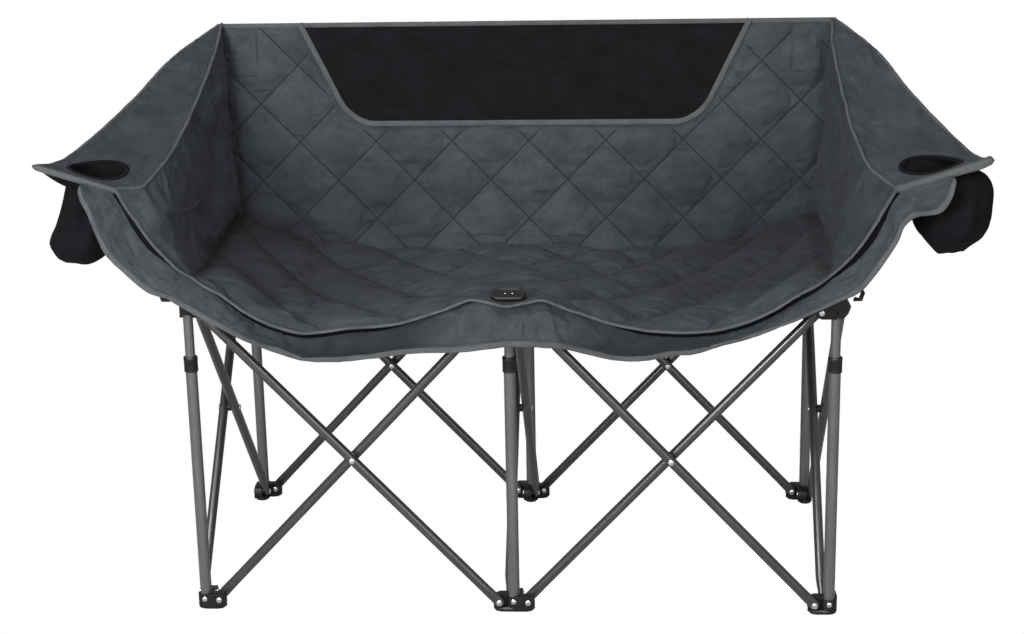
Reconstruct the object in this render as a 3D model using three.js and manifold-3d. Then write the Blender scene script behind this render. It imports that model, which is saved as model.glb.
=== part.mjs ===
// A folding camping loveseat: a steel tube frame of six telescoping uprights and seven scissors,
// with a quilted cloth seat, a high back and two cloth arms with cup holders.
// Millimetres, +Z up, +X to the sitter's left as seen from the front, +Y to the rear.
// The origin lies on the floor under the middle of the whole.
import * as THREE from 'three';
import { mergeVertices } from 'three/addons/utils/BufferGeometryUtils.js';
import Module from 'manifold-3d';

const wasm = await Module();
wasm.setup();

// Driving sizes of the frame.
const bay_width = 520;
const bay_depth = 520;
const foot_pivot_height = 17;
const hub_pivot_height = 517;
const pivot_offset = 24;

// Tubes.
const lower_outer = 19;
const lower_wall = 1;
const upper_outer = 16;
const upper_wall = 1;
const bar_outer = 16;
const bar_wall = 1;
const lower_tube_top = 438;
const upper_tube_bottom = 142;
const back_post_top = 897;
const centre_post_top = 534;

// Running gap between pieces, and the overrun of a cut past the face that it leaves.
const gap = 0.35;
const overrun = 2;

// Scissor bars lie this far from the plane of their scissor, one on each side.
const bar_offset = 10;
const rivet_radius = 3;
const rivet_head_radius = 5;
const rivet_head_height = 2.2;
const spacer_radius = 6.5;
const wall_bite_share = 0.8;

// Foot and hub fittings.
const sole_thickness = 8;
const hub_plate_thickness = 7;
const hub_plate_clearance = 1;
const sole_bevel = 2.5;
const socket_radius = 13.5;
const socket_rise = 8;
const hub_socket_rise = 3;
const socket_floor = 5;
const ear_radius = 10.5;

// Ferrule on each lower upright.
const ferrule_length = 25;
const ferrule_wall = 1.6;
const ferrule_lip = 3;

// Arm struts: where the front corner uprights bend outwards, and where they end.
const strut_bend_height = 558;
const strut_bend_length = 34;
const strut_top_out = 150;
const strut_top_height = 720;

// Cloth.
const seam_thickness = 3;
const pad_thickness = 7;
const quilt_puff = 6;
const quilt_diagonal = 141.4;
const cloth_thickness = 2.4;

// Seat: its front edge, corners and crease with the back.
const seat_front_reach = 40;
const seat_front_height = 545;
const seat_front_swing = 54;
const seat_corner_half = 508;
const seat_corner_reach = 10;
const crease_setback = 64;
const crease_height = 514;
const crease_lift = 66;
const crease_half = 530;
const seat_sag = 12;
const side_crease_sag = 30;
const side_crease_bulge = 14;
const seat_split_share = 0.5;

// Back.
const back_half = 549;
const back_top_height = 912;
const back_foot_drop = 8;
const pocket_half = 27;
const pocket_length = 92;
const pocket_wall = 2.4;
const panel_top_half = 406;
const panel_bottom_half = 316;
const panel_height = 180;
const panel_corner_radius = 42;

// Arm wings: ridge above the side panel, and the outer edge from the front tip to the back.
const ridge_front_half = 592;
const ridge_front_height = 706;
const wing_tip_half = 753;
const wing_tip_height = 758;
const wing_front_reach = 3;

// Cup holders.
const cup_half = 668;
const cup_setback = 66;
const cup_hole_radius = 45;
const cup_wall = 2.4;
const cup_belly_radius = 57;
const cup_depth = 146;
const cup_droop = 30;

// Front skirts.
const skirt_reach = 60;
const skirt_height = 466;
const skirt_swing = 105;
const skirt_tuck = 18;

// Cap on the front centre post.
const cap_length = 58;
const cap_width = 25;
const cap_thickness = 6;
const cap_stem_radius = 6.4;
const cap_stem_length = 22;
const cap_flat_share = 0.75;

// Hooks by the front corner hubs.
const hook_bar_radius = 4;
const hook_out = 39;
const hook_rise = 22;

// Facet counts.
const tube_sides = 12;
const rivet_sides = 6;
const head_sides = 6;
const round_steps = 8;
const corner_steps = 2;
const bend_steps = 3;

// Finishes.
const upright_steel = { color: 0x7d7f80, roughness: 0.42, metalness: 0.75 };
const bar_steel = { color: 0x55585a, roughness: 0.3, metalness: 0.85 };
const black_plastic = { color: 0x17191a, roughness: 0.55, metalness: 0 };
const grey_cloth = { color: 0x3b3f43, roughness: 0.9, metalness: 0 };
const black_cloth = { color: 0x101214, roughness: 0.85, metalness: 0 };

const loveseat = new THREE.Group();
loveseat.name = 'camping_loveseat';

// Solids from three.js geometry, and back.
function solidOf(geometry) {
  const bare = geometry.index ? geometry.clone() : geometry;
  bare.deleteAttribute('normal');
  bare.deleteAttribute('uv');
  const merged = mergeVertices(bare);
  return new wasm.Manifold(new wasm.Mesh({
    numProp: 3,
    vertProperties: new Float32Array(merged.attributes.position.array),
    triVerts: new Uint32Array(merged.index.array),
  }));
}

function geometryOf(solid) {
  const mesh = solid.getMesh();
  const geometry = new THREE.BufferGeometry();
  geometry.setAttribute('position', new THREE.BufferAttribute(new Float32Array(mesh.vertProperties), 3));
  geometry.setIndex(new THREE.BufferAttribute(new Uint32Array(mesh.triVerts), 1));
  geometry.computeVertexNormals();
  return geometry;
}

function joined(solids) {
  return solids.reduce((whole, piece) => whole.add(piece));
}

// The largest of the pieces that a cut has left.
function largestOf(solid) {
  return solid.decompose().reduce((best, piece) => (piece.volume() > best.volume() ? piece : best));
}

function addPiece(name, solid, finish, parent = loveseat) {
  const mesh = new THREE.Mesh(geometryOf(solid), new THREE.MeshStandardMaterial(finish));
  mesh.name = name;
  parent.add(mesh);
  return mesh;
}

// A round bar between two points.
function rod(start, end, radius, sides) {
  const along = end.clone().sub(start);
  const geometry = new THREE.CylinderGeometry(radius, radius, along.length(), sides);
  const turn = new THREE.Quaternion().setFromUnitVectors(
    new THREE.Vector3(0, 1, 0), along.clone().normalize());
  geometry.applyQuaternion(turn);
  const middle = start.clone().add(end).multiplyScalar(0.5);
  geometry.translate(middle.x, middle.y, middle.z);
  return solidOf(geometry);
}

// A closed outline in X and Z, given depth along Y from one Y to another.
function plateXZ(shape, from, to, curve_steps = round_steps) {
  const geometry = new THREE.ExtrudeGeometry(shape, {
    depth: to - from, bevelEnabled: false, curveSegments: curve_steps,
  });
  geometry.rotateX(Math.PI / 2);
  geometry.translate(0, to, 0);
  return solidOf(geometry);
}

// A straight tube, open at both ends.
function tubeBetween(start, end, outer, wall) {
  const section = new THREE.Shape();
  section.absarc(0, 0, outer / 2, 0, Math.PI * 2, false);
  const bore = new THREE.Path();
  bore.absarc(0, 0, outer / 2 - wall, 0, Math.PI * 2, true);
  section.holes.push(bore);
  return solidOf(new THREE.ExtrudeGeometry(section, {
    steps: 1, extrudePath: new THREE.LineCurve3(start, end), curveSegments: tube_sides / 2,
  }));
}

function uprightTube(outer, wall, bottom, top) {
  const start = new THREE.Vector3(0, 0, bottom);
  const end = new THREE.Vector3(0, 0, top);
  return tubeBetween(start, end, outer, wall);
}

// The scissor bars. A bar is drawn along +X from its first pivot, with its pivots along Y. Its
// ends are cut to half rounds. The ears that it is pinned to lie on its +Y side.
const scissor_rise = hub_pivot_height - foot_pivot_height;
const bar_length = Math.hypot(bay_width - 2 * pivot_offset, scissor_rise);
const side_bar_length = Math.hypot(bay_depth - 2 * pivot_offset, scissor_rise);
const bar_radius = bar_outer / 2;
const ear_near = bar_radius + gap;
// An ear fills a fitting from its bar to the far side of the sole.
const ear_thickness = socket_radius + bar_offset - bar_radius - gap;
const ear_far = ear_near + ear_thickness;

// A hole whose flats clear a turning rivet.
const rivet_hole_radius = (rivet_radius + gap) / Math.cos(Math.PI / rivet_sides);

function rivet(x, from, to) {
  return rod(new THREE.Vector3(x, from, 0), new THREE.Vector3(x, to, 0), rivet_radius, rivet_sides);
}

function rivetHead(x, from, to) {
  return rod(new THREE.Vector3(x, from, 0), new THREE.Vector3(x, to, 0),
    rivet_head_radius, head_sides);
}

function barSolid(length, carries_rivet) {
  let bar = tubeBetween(new THREE.Vector3(-bar_outer, 0, 0),
    new THREE.Vector3(length + bar_outer, 0, 0), bar_outer, bar_wall);
  const outline = new THREE.Shape();
  outline.absarc(0, 0, bar_radius, Math.PI / 2, Math.PI * 3 / 2, false);
  outline.absarc(length, 0, bar_radius, -Math.PI / 2, Math.PI / 2, false);
  bar = bar.intersect(plateXZ(outline, -bar_outer, bar_outer, corner_steps));
  const middle = length / 2;
  const parts = [bar];
  const bite = bar_radius - bar_wall * wall_bite_share;
  for (const x of [0, length]) {
    parts.push(rivet(x, bite, ear_far + gap + rivet_head_height / 2));
    parts.push(rivetHead(x, ear_far + gap, ear_far + gap + rivet_head_height));
  }
  if (carries_rivet) {
    const far_face = 2 * bar_offset + bar_radius;
    parts.push(rivet(middle, bite, far_face + gap + rivet_head_height / 2));
    parts.push(rivetHead(middle, far_face + gap, far_face + gap + rivet_head_height));
    parts.push(rod(new THREE.Vector3(middle, bite, 0),
      new THREE.Vector3(middle, 2 * bar_offset - bar_radius - gap, 0),
      spacer_radius, head_sides));
    return joined(parts);
  }
  const hole = rod(new THREE.Vector3(middle, -bar_radius - overrun, 0),
    new THREE.Vector3(middle, bar_radius + overrun, 0), rivet_hole_radius, rivet_sides);
  return joined(parts).subtract(hole);
}

// Places a bar between two pivots. away is the direction from the scissor's plane to the bar.
function addBar(name, solid, foot_pivot, hub_pivot, away) {
  const mesh = addPiece(name, solid, bar_steel);
  const along = hub_pivot.clone().sub(foot_pivot).normalize();
  const inward = away.clone().negate();
  const up = new THREE.Vector3().crossVectors(along, inward);
  const matrix = new THREE.Matrix4().makeBasis(along, inward, up);
  mesh.quaternion.setFromRotationMatrix(matrix);
  mesh.position.copy(foot_pivot.clone().addScaledVector(away, bar_offset));
}

// How far a hub's top lies above its pivots.
const hub_plate_height = bar_radius + hub_plate_clearance + hub_plate_thickness;

// Foot and hub fittings. z = 0 is the height of the pivots. Each ear is a direction, a quarter
// turn count from +X, and the side, seen along that direction, on which its bar lies.
function fittingSolid(ears, upright_outer, is_hub) {
  const plate_thickness = is_hub ? hub_plate_thickness : sole_thickness;
  const plate_height = is_hub ? hub_plate_height : foot_pivot_height;
  const sole_bottom = -plate_height;
  const sole_top = sole_bottom + plate_thickness;
  const rise = is_hub ? hub_socket_rise : socket_rise;
  const ear_reach = pivot_offset + ear_radius;
  const parts = [];
  parts.push(rod(new THREE.Vector3(0, 0, sole_bottom + sole_bevel),
    new THREE.Vector3(0, 0, rise), socket_radius, tube_sides));
  const has_both = ears.some((ear) => ear.quarter === 0) && ears.some((ear) => ear.quarter === 2);
  for (const ear of ears) {
    const slot = new THREE.Shape();
    const inner = socket_radius - sole_bevel;
    const far_centre = ear_reach - socket_radius;
    const near_centre = has_both && ear.quarter === 0 ? -far_centre : 0;
    slot.absarc(near_centre, 0, inner, Math.PI / 2, Math.PI * 3 / 2, false);
    slot.absarc(far_centre, 0, inner, -Math.PI / 2, Math.PI / 2, false);
    const sole = new THREE.ExtrudeGeometry(slot, {
      depth: plate_thickness - 2 * sole_bevel,
      bevelEnabled: true,
      bevelSize: sole_bevel,
      bevelThickness: sole_bevel,
      bevelSegments: 1,
      curveSegments: corner_steps,
    });
    sole.translate(0, 0, sole_bottom + sole_bevel);
    sole.rotateZ(ear.quarter * Math.PI / 2);
    if (!has_both || ear.quarter !== 2) {
      parts.push(solidOf(sole));
    }

    const cheek = new THREE.Shape();
    cheek.moveTo(0, sole_bottom + plate_thickness / 2);
    cheek.lineTo(ear_reach - sole_bevel, sole_bottom + plate_thickness / 2);
    cheek.lineTo(ear_reach, sole_top);
    cheek.absarc(pivot_offset, 0, ear_radius, 0, Math.PI / 2, false);
    cheek.lineTo(0, ear_radius);
    const near = bar_offset - bar_radius - gap;
    const far = near - ear_thickness;
    let plate = plateXZ(cheek, Math.min(ear.side * near, ear.side * far),
      Math.max(ear.side * near, ear.side * far), corner_steps / 2);
    const hole = rod(new THREE.Vector3(pivot_offset, -socket_radius, 0),
      new THREE.Vector3(pivot_offset, socket_radius, 0), rivet_hole_radius, rivet_sides);
    plate = plate.subtract(hole);
    parts.push(plate.rotate([0, 0, ear.quarter * 90]));
  }
  const bore_radius = upright_outer / 2 + gap;
  const bore_bottom = is_hub ? sole_bottom - overrun : sole_bottom + socket_floor;
  const bore = rod(new THREE.Vector3(0, 0, bore_bottom),
    new THREE.Vector3(0, 0, ear_radius + overrun), bore_radius, tube_sides);
  let fitting = joined(parts).subtract(bore);
  if (is_hub) {
    fitting = fitting.mirror([0, 0, 1]);
  }
  return fitting;
}

// Ferrule: a sleeve round the top of a lower upright with a lip over its end.
function ferruleSolid() {
  const inner = lower_outer / 2 + gap;
  const outer = inner + ferrule_wall;
  const lip_inner = upper_outer / 2 + gap;
  const top = lower_tube_top + gap + ferrule_lip;
  const bottom = top - ferrule_length;
  const profile = [
    new THREE.Vector2(inner, bottom),
    new THREE.Vector2(outer, bottom),
    new THREE.Vector2(outer, top),
    new THREE.Vector2(lip_inner, top),
    new THREE.Vector2(lip_inner, lower_tube_top + gap),
    new THREE.Vector2(inner, lower_tube_top + gap),
    new THREE.Vector2(inner, bottom),
  ];
  const lathe = new THREE.LatheGeometry(profile, tube_sides);
  lathe.rotateX(Math.PI / 2);
  return solidOf(lathe);
}

// The six columns: side is -1, 0 or 1 and row is -1 in front and 1 behind.
const columns = [];
for (const row of [-1, 1]) {
  for (const side of [-1, 0, 1]) {
    const row_word = row < 0 ? 'front' : 'rear';
    const side_word = side < 0 ? 'left' : side > 0 ? 'right' : 'centre';
    columns.push({
      row, side, name: row_word + '_' + side_word,
      x: side * bay_width, y: row * bay_depth / 2,
    });
  }
}

// Ears of a column's foot or hub. In front and behind, the bar that falls from upper left to lower
// right is the nearer one. In depth, the bar that rises to the rear lies on the left.
function earsOf(column, is_hub) {
  const ears = [];
  const flip = is_hub ? -1 : 1;
  if (column.side < 1) {
    ears.push({ quarter: 0, side: flip });
  }
  if (column.side > -1) {
    ears.push({ quarter: 2, side: flip });
  }
  ears.push({ quarter: column.row < 0 ? 1 : 3, side: flip });
  return ears;
}

const ferrule = ferruleSolid();
const lower_tube = uprightTube(lower_outer, lower_wall, socket_floor + gap, lower_tube_top);
for (const column of columns) {
  const foot = addPiece(column.name + '_foot',
    fittingSolid(earsOf(column, false), lower_outer, false), black_plastic);
  foot.position.set(column.x, column.y, foot_pivot_height);
  const tube = addPiece(column.name + '_lower_tube', lower_tube, upright_steel);
  tube.position.set(column.x, column.y, 0);
  const collar = addPiece(column.name + '_ferrule', ferrule, black_plastic);
  collar.position.set(column.x, column.y, 0);
  const hub = addPiece(column.name + '_hub',
    fittingSolid(earsOf(column, true), upper_outer, true), black_plastic);
  hub.position.set(column.x, column.y, hub_pivot_height);

  let upper;
  if (column.row > 0) {
    upper = uprightTube(upper_outer, upper_wall, upper_tube_bottom, back_post_top);
  } else if (column.side === 0) {
    upper = uprightTube(upper_outer, upper_wall, upper_tube_bottom, centre_post_top);
  } else {
    const foot_end = new THREE.Vector3(0, 0, upper_tube_bottom);
    const bend = new THREE.Vector3(0, 0, strut_bend_height);
    const top_end = new THREE.Vector3(column.side * strut_top_out, 0, strut_top_height);
    const slant = top_end.clone().sub(bend).normalize();
    const bend_start = bend.clone().setZ(strut_bend_height - strut_bend_length / 2);
    const bend_end = bend.clone().addScaledVector(slant, strut_bend_length / 2);
    upper = bentTube(foot_end, bend_start, bend, bend_end, top_end);
  }
  const upper_mesh = addPiece(column.name + '_upper_tube', upper, upright_steel);
  upper_mesh.position.set(column.x, column.y, 0);
}

// A tube with one bend: rings at the ends and through the bend only.
function bentTube(foot_end, bend_start, bend, bend_end, top_end) {
  const centres = [foot_end];
  const arc = new THREE.QuadraticBezierCurve3(bend_start, bend, bend_end);
  for (let step = 0; step <= bend_steps; step += 1) {
    centres.push(arc.getPoint(step / bend_steps));
  }
  centres.push(top_end);
  const side_axis = new THREE.Vector3(0, 1, 0);
  const positions = [];
  const ringOf = (centre, across, radius) => {
    const start = positions.length / 3;
    for (let corner = 0; corner < tube_sides; corner += 1) {
      const angle = corner / tube_sides * Math.PI * 2;
      const point = centre.clone()
        .addScaledVector(across, radius * Math.cos(angle))
        .addScaledVector(side_axis, radius * Math.sin(angle));
      positions.push(point.x, point.y, point.z);
    }
    return start;
  };
  const outer_rings = [];
  const inner_rings = [];
  for (let index = 0; index < centres.length; index += 1) {
    const before = centres[Math.max(index - 1, 0)];
    const after = centres[Math.min(index + 1, centres.length - 1)];
    const tangent = after.clone().sub(before).normalize();
    const across = new THREE.Vector3().crossVectors(side_axis, tangent).normalize();
    outer_rings.push(ringOf(centres[index], across, upper_outer / 2));
    inner_rings.push(ringOf(centres[index], across, upper_outer / 2 - upper_wall));
  }
  const triangles = [];
  const band = (low, high) => {
    for (let corner = 0; corner < tube_sides; corner += 1) {
      const next = (corner + 1) % tube_sides;
      triangles.push(low + corner, low + next, high + next);
      triangles.push(low + corner, high + next, high + corner);
    }
  };
  const last = centres.length - 1;
  for (let index = 0; index < last; index += 1) {
    band(outer_rings[index], outer_rings[index + 1]);
    band(inner_rings[index + 1], inner_rings[index]);
  }
  band(inner_rings[0], outer_rings[0]);
  band(outer_rings[last], inner_rings[last]);
  return closedSolid(positions, triangles);
}

// A solid from listed points and triangles, turned right side out if need be.
function closedSolid(positions, triangles) {
  let volume = 0;
  const at = (index) => new THREE.Vector3().fromArray(positions, 3 * index);
  for (let index = 0; index < triangles.length; index += 3) {
    volume += at(triangles[index]).dot(
      at(triangles[index + 1]).cross(at(triangles[index + 2])));
  }
  if (volume < 0) {
    for (let index = 0; index < triangles.length; index += 3) {
      const second = triangles[index + 1];
      triangles[index + 1] = triangles[index + 2];
      triangles[index + 2] = second;
    }
  }
  return new wasm.Manifold(new wasm.Mesh({
    numProp: 3,
    vertProperties: new Float32Array(positions),
    triVerts: new Uint32Array(triangles),
  }));
}

// The fourteen bars.
const pin_bar = barSolid(bar_length, true);
const hole_bar = barSolid(bar_length, false);
const side_pin_bar = barSolid(side_bar_length, true);
const side_hole_bar = barSolid(side_bar_length, false);
const to_front = new THREE.Vector3(0, -1, 0);
const to_rear = new THREE.Vector3(0, 1, 0);
const to_left = new THREE.Vector3(-1, 0, 0);
const to_right = new THREE.Vector3(1, 0, 0);

for (const row of [-1, 1]) {
  const row_word = row < 0 ? 'front' : 'rear';
  const y = row * bay_depth / 2;
  for (const bay of [-1, 1]) {
    const bay_word = bay < 0 ? 'left' : 'right';
    const left_x = bay < 0 ? -bay_width + pivot_offset : pivot_offset;
    const right_x = bay < 0 ? -pivot_offset : bay_width - pivot_offset;
    const foot_left = new THREE.Vector3(left_x, y, foot_pivot_height);
    const foot_right = new THREE.Vector3(right_x, y, foot_pivot_height);
    const hub_left = new THREE.Vector3(left_x, y, hub_pivot_height);
    const hub_right = new THREE.Vector3(right_x, y, hub_pivot_height);
    addBar(row_word + '_' + bay_word + '_bay_near_bar', pin_bar, foot_right, hub_left, to_front);
    addBar(row_word + '_' + bay_word + '_bay_far_bar', hole_bar, foot_left, hub_right, to_rear);
  }
}
for (const side of [-1, 0, 1]) {
  const side_word = side < 0 ? 'left' : side > 0 ? 'right' : 'centre';
  const x = side * bay_width;
  const front_y = -bay_depth / 2 + pivot_offset;
  const rear_y = bay_depth / 2 - pivot_offset;
  addBar(side_word + '_side_rear_rising_bar', side_pin_bar,
    new THREE.Vector3(x, front_y, foot_pivot_height),
    new THREE.Vector3(x, rear_y, hub_pivot_height), to_left);
  addBar(side_word + '_side_front_rising_bar', side_hole_bar,
    new THREE.Vector3(x, rear_y, foot_pivot_height),
    new THREE.Vector3(x, front_y, hub_pivot_height), to_right);
}

// Smooth curves through points, read at even shares of their points.
function curveThrough(points) {
  return new THREE.CatmullRomCurve3(points, false, 'centripetal');
}

function readCurve(curve, share) {
  return curve.getPoint(Math.min(Math.max(share, 0), 1));
}

function blendOf(from, to, share) {
  return from.clone().lerp(to, share);
}

// A cloth or pad: a grid laid on a surface, with a front and a back face. cut_across says which
// way each grid square is split, so that quilting lines run along edges.
function padSolid(across, along, place, front, back, cut_across = () => false) {
  const reach = 1e-3;
  const normalAt = (u, v) => {
    const u0 = Math.max(u - reach, 0);
    const u1 = Math.min(u + reach, 1);
    const v0 = Math.max(v - reach, 0);
    const v1 = Math.min(v + reach, 1);
    const du = place(u1, v).sub(place(u0, v));
    const dv = place(u, v1).sub(place(u, v0));
    return du.cross(dv).normalize();
  };
  const positions = [];
  for (const turn of [1, -1]) {
    const layer = turn > 0 ? front : back;
    for (let row = 0; row <= along; row += 1) {
      for (let column = 0; column <= across; column += 1) {
        const u = column / across;
        const v = row / along;
        const point = place(u, v).addScaledVector(normalAt(u, v), turn * layer(u, v, column, row));
        positions.push(point.x, point.y, point.z);
      }
    }
  }
  const at = (layer, column, row) => (layer * (along + 1) + row) * (across + 1) + column;
  const triangles = [];
  for (let row = 0; row < along; row += 1) {
    for (let column = 0; column < across; column += 1) {
      for (const layer of [0, 1]) {
        const a = at(layer, column, row);
        const b = at(layer, column + 1, row);
        const c = at(layer, column + 1, row + 1);
        const d = at(layer, column, row + 1);
        const faces = cut_across(column, row) ? [a, b, d, b, c, d] : [a, b, c, a, c, d];
        if (layer === 1) {
          faces.reverse();
        }
        triangles.push(...faces);
      }
    }
  }
  const rim = [];
  for (let column = 0; column < across; column += 1) {
    rim.push([column, 0, column + 1, 0]);
    rim.push([column + 1, along, column, along]);
  }
  for (let row = 0; row < along; row += 1) {
    rim.push([across, row, across, row + 1]);
    rim.push([0, row + 1, 0, row]);
  }
  for (const [c0, r0, c1, r1] of rim) {
    const a = at(0, c0, r0);
    const b = at(0, c1, r1);
    const c = at(1, c1, r1);
    const d = at(1, c0, r0);
    triangles.push(a, c, b, a, d, c);
  }
  return closedSolid(positions, triangles);
}

// The same pad grown by a margin all round, to cut clearance out of a neighbour.
function grownPad(across, along, place, front, back, margin, cut_across = () => false) {
  const grown_place = (u, v) => {
    const point = place(u, v);
    const step = 0.01;
    const edge_u = u <= 0 ? -1 : u >= 1 ? 1 : 0;
    const edge_v = v <= 0 ? -1 : v >= 1 ? 1 : 0;
    if (edge_u !== 0) {
      const out = point.clone().sub(place(u - edge_u * step, v)).normalize();
      point.addScaledVector(out, margin);
    }
    if (edge_v !== 0) {
      const out = place(u, v).sub(place(u, v - edge_v * step)).normalize();
      point.addScaledVector(out, margin);
    }
    return point;
  };
  return padSolid(across, along, grown_place,
    (u, v, c, r) => front(u, v, c, r) + margin, (u, v, c, r) => back(u, v, c, r) + margin,
    cut_across);
}

// Fades to nothing over the outer part of a grid.
function fade(share, width_share) {
  const near = Math.min(share, 1 - share) / width_share;
  const clipped = Math.min(Math.max(near, 0), 1);
  return clipped * clipped * (3 - 2 * clipped);
}

// Diamond quilting on a grid of quarter diagonals: 0 on a stitch line, 1 in a diamond's middle.
function quiltRise(column, row) {
  const rising = Math.abs(Math.sin((column + row) / 4 * Math.PI));
  const falling = Math.abs(Math.sin((column - row) / 4 * Math.PI));
  return Math.sqrt(rising * falling);
}

function quiltCut(column, row) {
  const on_rising = (column + 1 + row) % 4 === 0;
  const on_falling = Math.abs(column - row) % 4 === 0;
  return on_rising && !on_falling ? true : !on_falling && (column + row) % 2 === 1;
}

// Shared edges of the cloth. side is -1 for the left and 1 for the right.
const front_y = -bay_depth / 2;
const rear_y = bay_depth / 2;
const seat_front_x_shares = [0, 0.08, 0.2, 0.345, 0.49, 0.63, 0.77, 0.9, 0.955, 1];
const seat_front_drop_shares = [0, 0.04, 0.35, 0.74, 0.94, 1, 0.5, -0.41, -0.8, -1.06];
const seat_front_reach_shares = [0.9, 0.95, 1, 1, 1, 1, 1, 0.8, 0.6, 0];

function mirroredCurve(count, point_at) {
  const points = [];
  for (let index = count - 1; index > 0; index -= 1) {
    points.push(point_at(index).multiply(new THREE.Vector3(-1, 1, 1)));
  }
  for (let index = 0; index < count; index += 1) {
    points.push(point_at(index));
  }
  return points;
}

// Reads a table of values at a share of the way along a table of places, smoothly.
function readTable(places, values, place) {
  let index = 0;
  while (index < places.length - 2 && place > places[index + 1]) {
    index += 1;
  }
  const span = places[index + 1] - places[index];
  const t = Math.min(Math.max((place - places[index]) / span, 0), 1);
  const slope = (at) => {
    const low = Math.max(at - 1, 0);
    const high = Math.min(at + 1, places.length - 1);
    return (values[high] - values[low]) / (places[high] - places[low]);
  };
  const t2 = t * t;
  const t3 = t2 * t;
  return (2 * t3 - 3 * t2 + 1) * values[index] + (t3 - 2 * t2 + t) * span * slope(index)
    + (3 * t2 - 2 * t3) * values[index + 1] + (t3 - t2) * span * slope(index + 1);
}

// Seat front edge at s from -1 (left corner) to 1 (right corner).
function seatFront(s) {
  const size = Math.abs(s);
  const drop = readTable(seat_front_x_shares, seat_front_drop_shares, size);
  const reach = readTable(seat_front_x_shares, seat_front_reach_shares, size);
  return new THREE.Vector3(s * seat_corner_half,
    front_y - seat_corner_reach - reach * (seat_front_reach - seat_corner_reach),
    seat_front_height - drop * seat_front_swing);
}

// Crease between seat and back.
function seatCrease(s) {
  const size = Math.abs(s);
  return new THREE.Vector3(s * crease_half, rear_y - crease_setback,
    crease_height + crease_lift * size ** 5);
}

// Seat surface: v from the front edge to the crease.
function seatPlace(s, v) {
  const point = blendOf(seatFront(s), seatCrease(s), v);
  const sag = 4 * v * (1 - v);
  const side_share = Math.abs(s) ** 5;
  point.z -= sag * (seat_sag + (side_crease_sag - seat_sag) * side_share);
  point.x += Math.sign(s) * sag * side_share * side_crease_bulge;
  return point;
}

// Back surface: v from its foot, behind the crease, to its top edge, which lies on the posts.
const back_top_y = rear_y - upper_outer / 2 - gap - seam_thickness / 2;
function backPlace(s, v) {
  const crease = seatCrease(s);
  const rise_share = 1 - (1 - v) ** 1.6;
  const foot_y = crease.y + pad_thickness;
  return new THREE.Vector3(
    s * THREE.MathUtils.lerp(crease_half, back_half, v) + s * Math.abs(s) * pad_thickness,
    foot_y + (back_top_y - foot_y) * rise_share,
    THREE.MathUtils.lerp(crease.z - back_foot_drop, back_top_height, v));
}

// Ridge between side panel and arm wing, u from front to rear.
const ridge_x_shares = [1, 0.35, 0.05, -0.1, 0];
const ridge_z_shares = [0, 0.205, 0.515, 0.79, 1];
const wing_y_shares = [0, 0.27, 0.58, 0.815, 1];
const wing_x_shares = [1, 0.945, 0.605, 0.345, 0.035];
const wing_z_shares = [0, -0.1, 0.305, 0.71, 1];
const ridge_rear_half = back_half;
const wing_rear_y = back_top_y;

function ridgeCurve(side) {
  const front = new THREE.Vector3(ridge_front_half, front_y - wing_front_reach, ridge_front_height);
  const rear = new THREE.Vector3(ridge_rear_half, wing_rear_y, back_top_height);
  return curveThrough(wing_y_shares.map((share, index) => new THREE.Vector3(
    side * (rear.x + (front.x - rear.x) * ridge_x_shares[index]),
    front.y + (rear.y - front.y) * share,
    front.z + (rear.z - front.z) * ridge_z_shares[index])));
}

function wingEdgeCurve(side) {
  const front = new THREE.Vector3(wing_tip_half, front_y - wing_front_reach, wing_tip_height);
  const rear = new THREE.Vector3(ridge_rear_half, wing_rear_y, back_top_height);
  return curveThrough(wing_y_shares.map((share, index) => new THREE.Vector3(
    side * (rear.x + (front.x - rear.x) * wing_x_shares[index]),
    front.y + (rear.y - front.y) * share,
    front.z + (rear.z - front.z) * wing_z_shares[index])));
}

const ridges = { '-1': ridgeCurve(-1), 1: ridgeCurve(1) };
const wing_edges = { '-1': wingEdgeCurve(-1), 1: wingEdgeCurve(1) };

// Front edge of a side panel, from the seat's corner up to the ridge.
const panel_front_curves = {};
for (const side of [-1, 1]) {
  const low = seatFront(side);
  const high = readCurve(ridges[side], 0);
  const bulge_shares = [0, 0.1, 0.14, 0];
  const rise_shares = [0, 0.12, 0.54, 1];
  const along_shares = [0, 0.33, 0.78, 1];
  panel_front_curves[side] = curveThrough(along_shares.map((share, index) => new THREE.Vector3(
    low.x + (high.x - low.x) * share,
    low.y + (high.y - low.y) * rise_shares[index]
      - (seat_front_reach - seat_corner_reach) * bulge_shares[index],
    low.z + (high.z - low.z) * rise_shares[index])));
}

// Side panel: u from front to rear, v from the seat up to the ridge.
function sidePlace(side, u, v) {
  const bottom = seatPlace(side, u);
  const top = readCurve(ridges[side], u);
  const front = readCurve(panel_front_curves[side], v);
  const rear = blendOf(seatCrease(side), readCurve(ridges[side], 1), v);
  const point = bottom.multiplyScalar(1 - v).addScaledVector(top, v)
    .addScaledVector(front, 1 - u).addScaledVector(rear, u);
  const corners = blendOf(
    blendOf(seatPlace(side, 0), seatPlace(side, 1), u),
    blendOf(readCurve(ridges[side], 0), readCurve(ridges[side], 1), u), v);
  return point.sub(corners);
}

// Arm wing: u from front to rear, v from the ridge out to the edge.
function wingPlace(side, u, v) {
  return blendOf(readCurve(ridges[side], u), readCurve(wing_edges[side], u), v);
}

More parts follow.
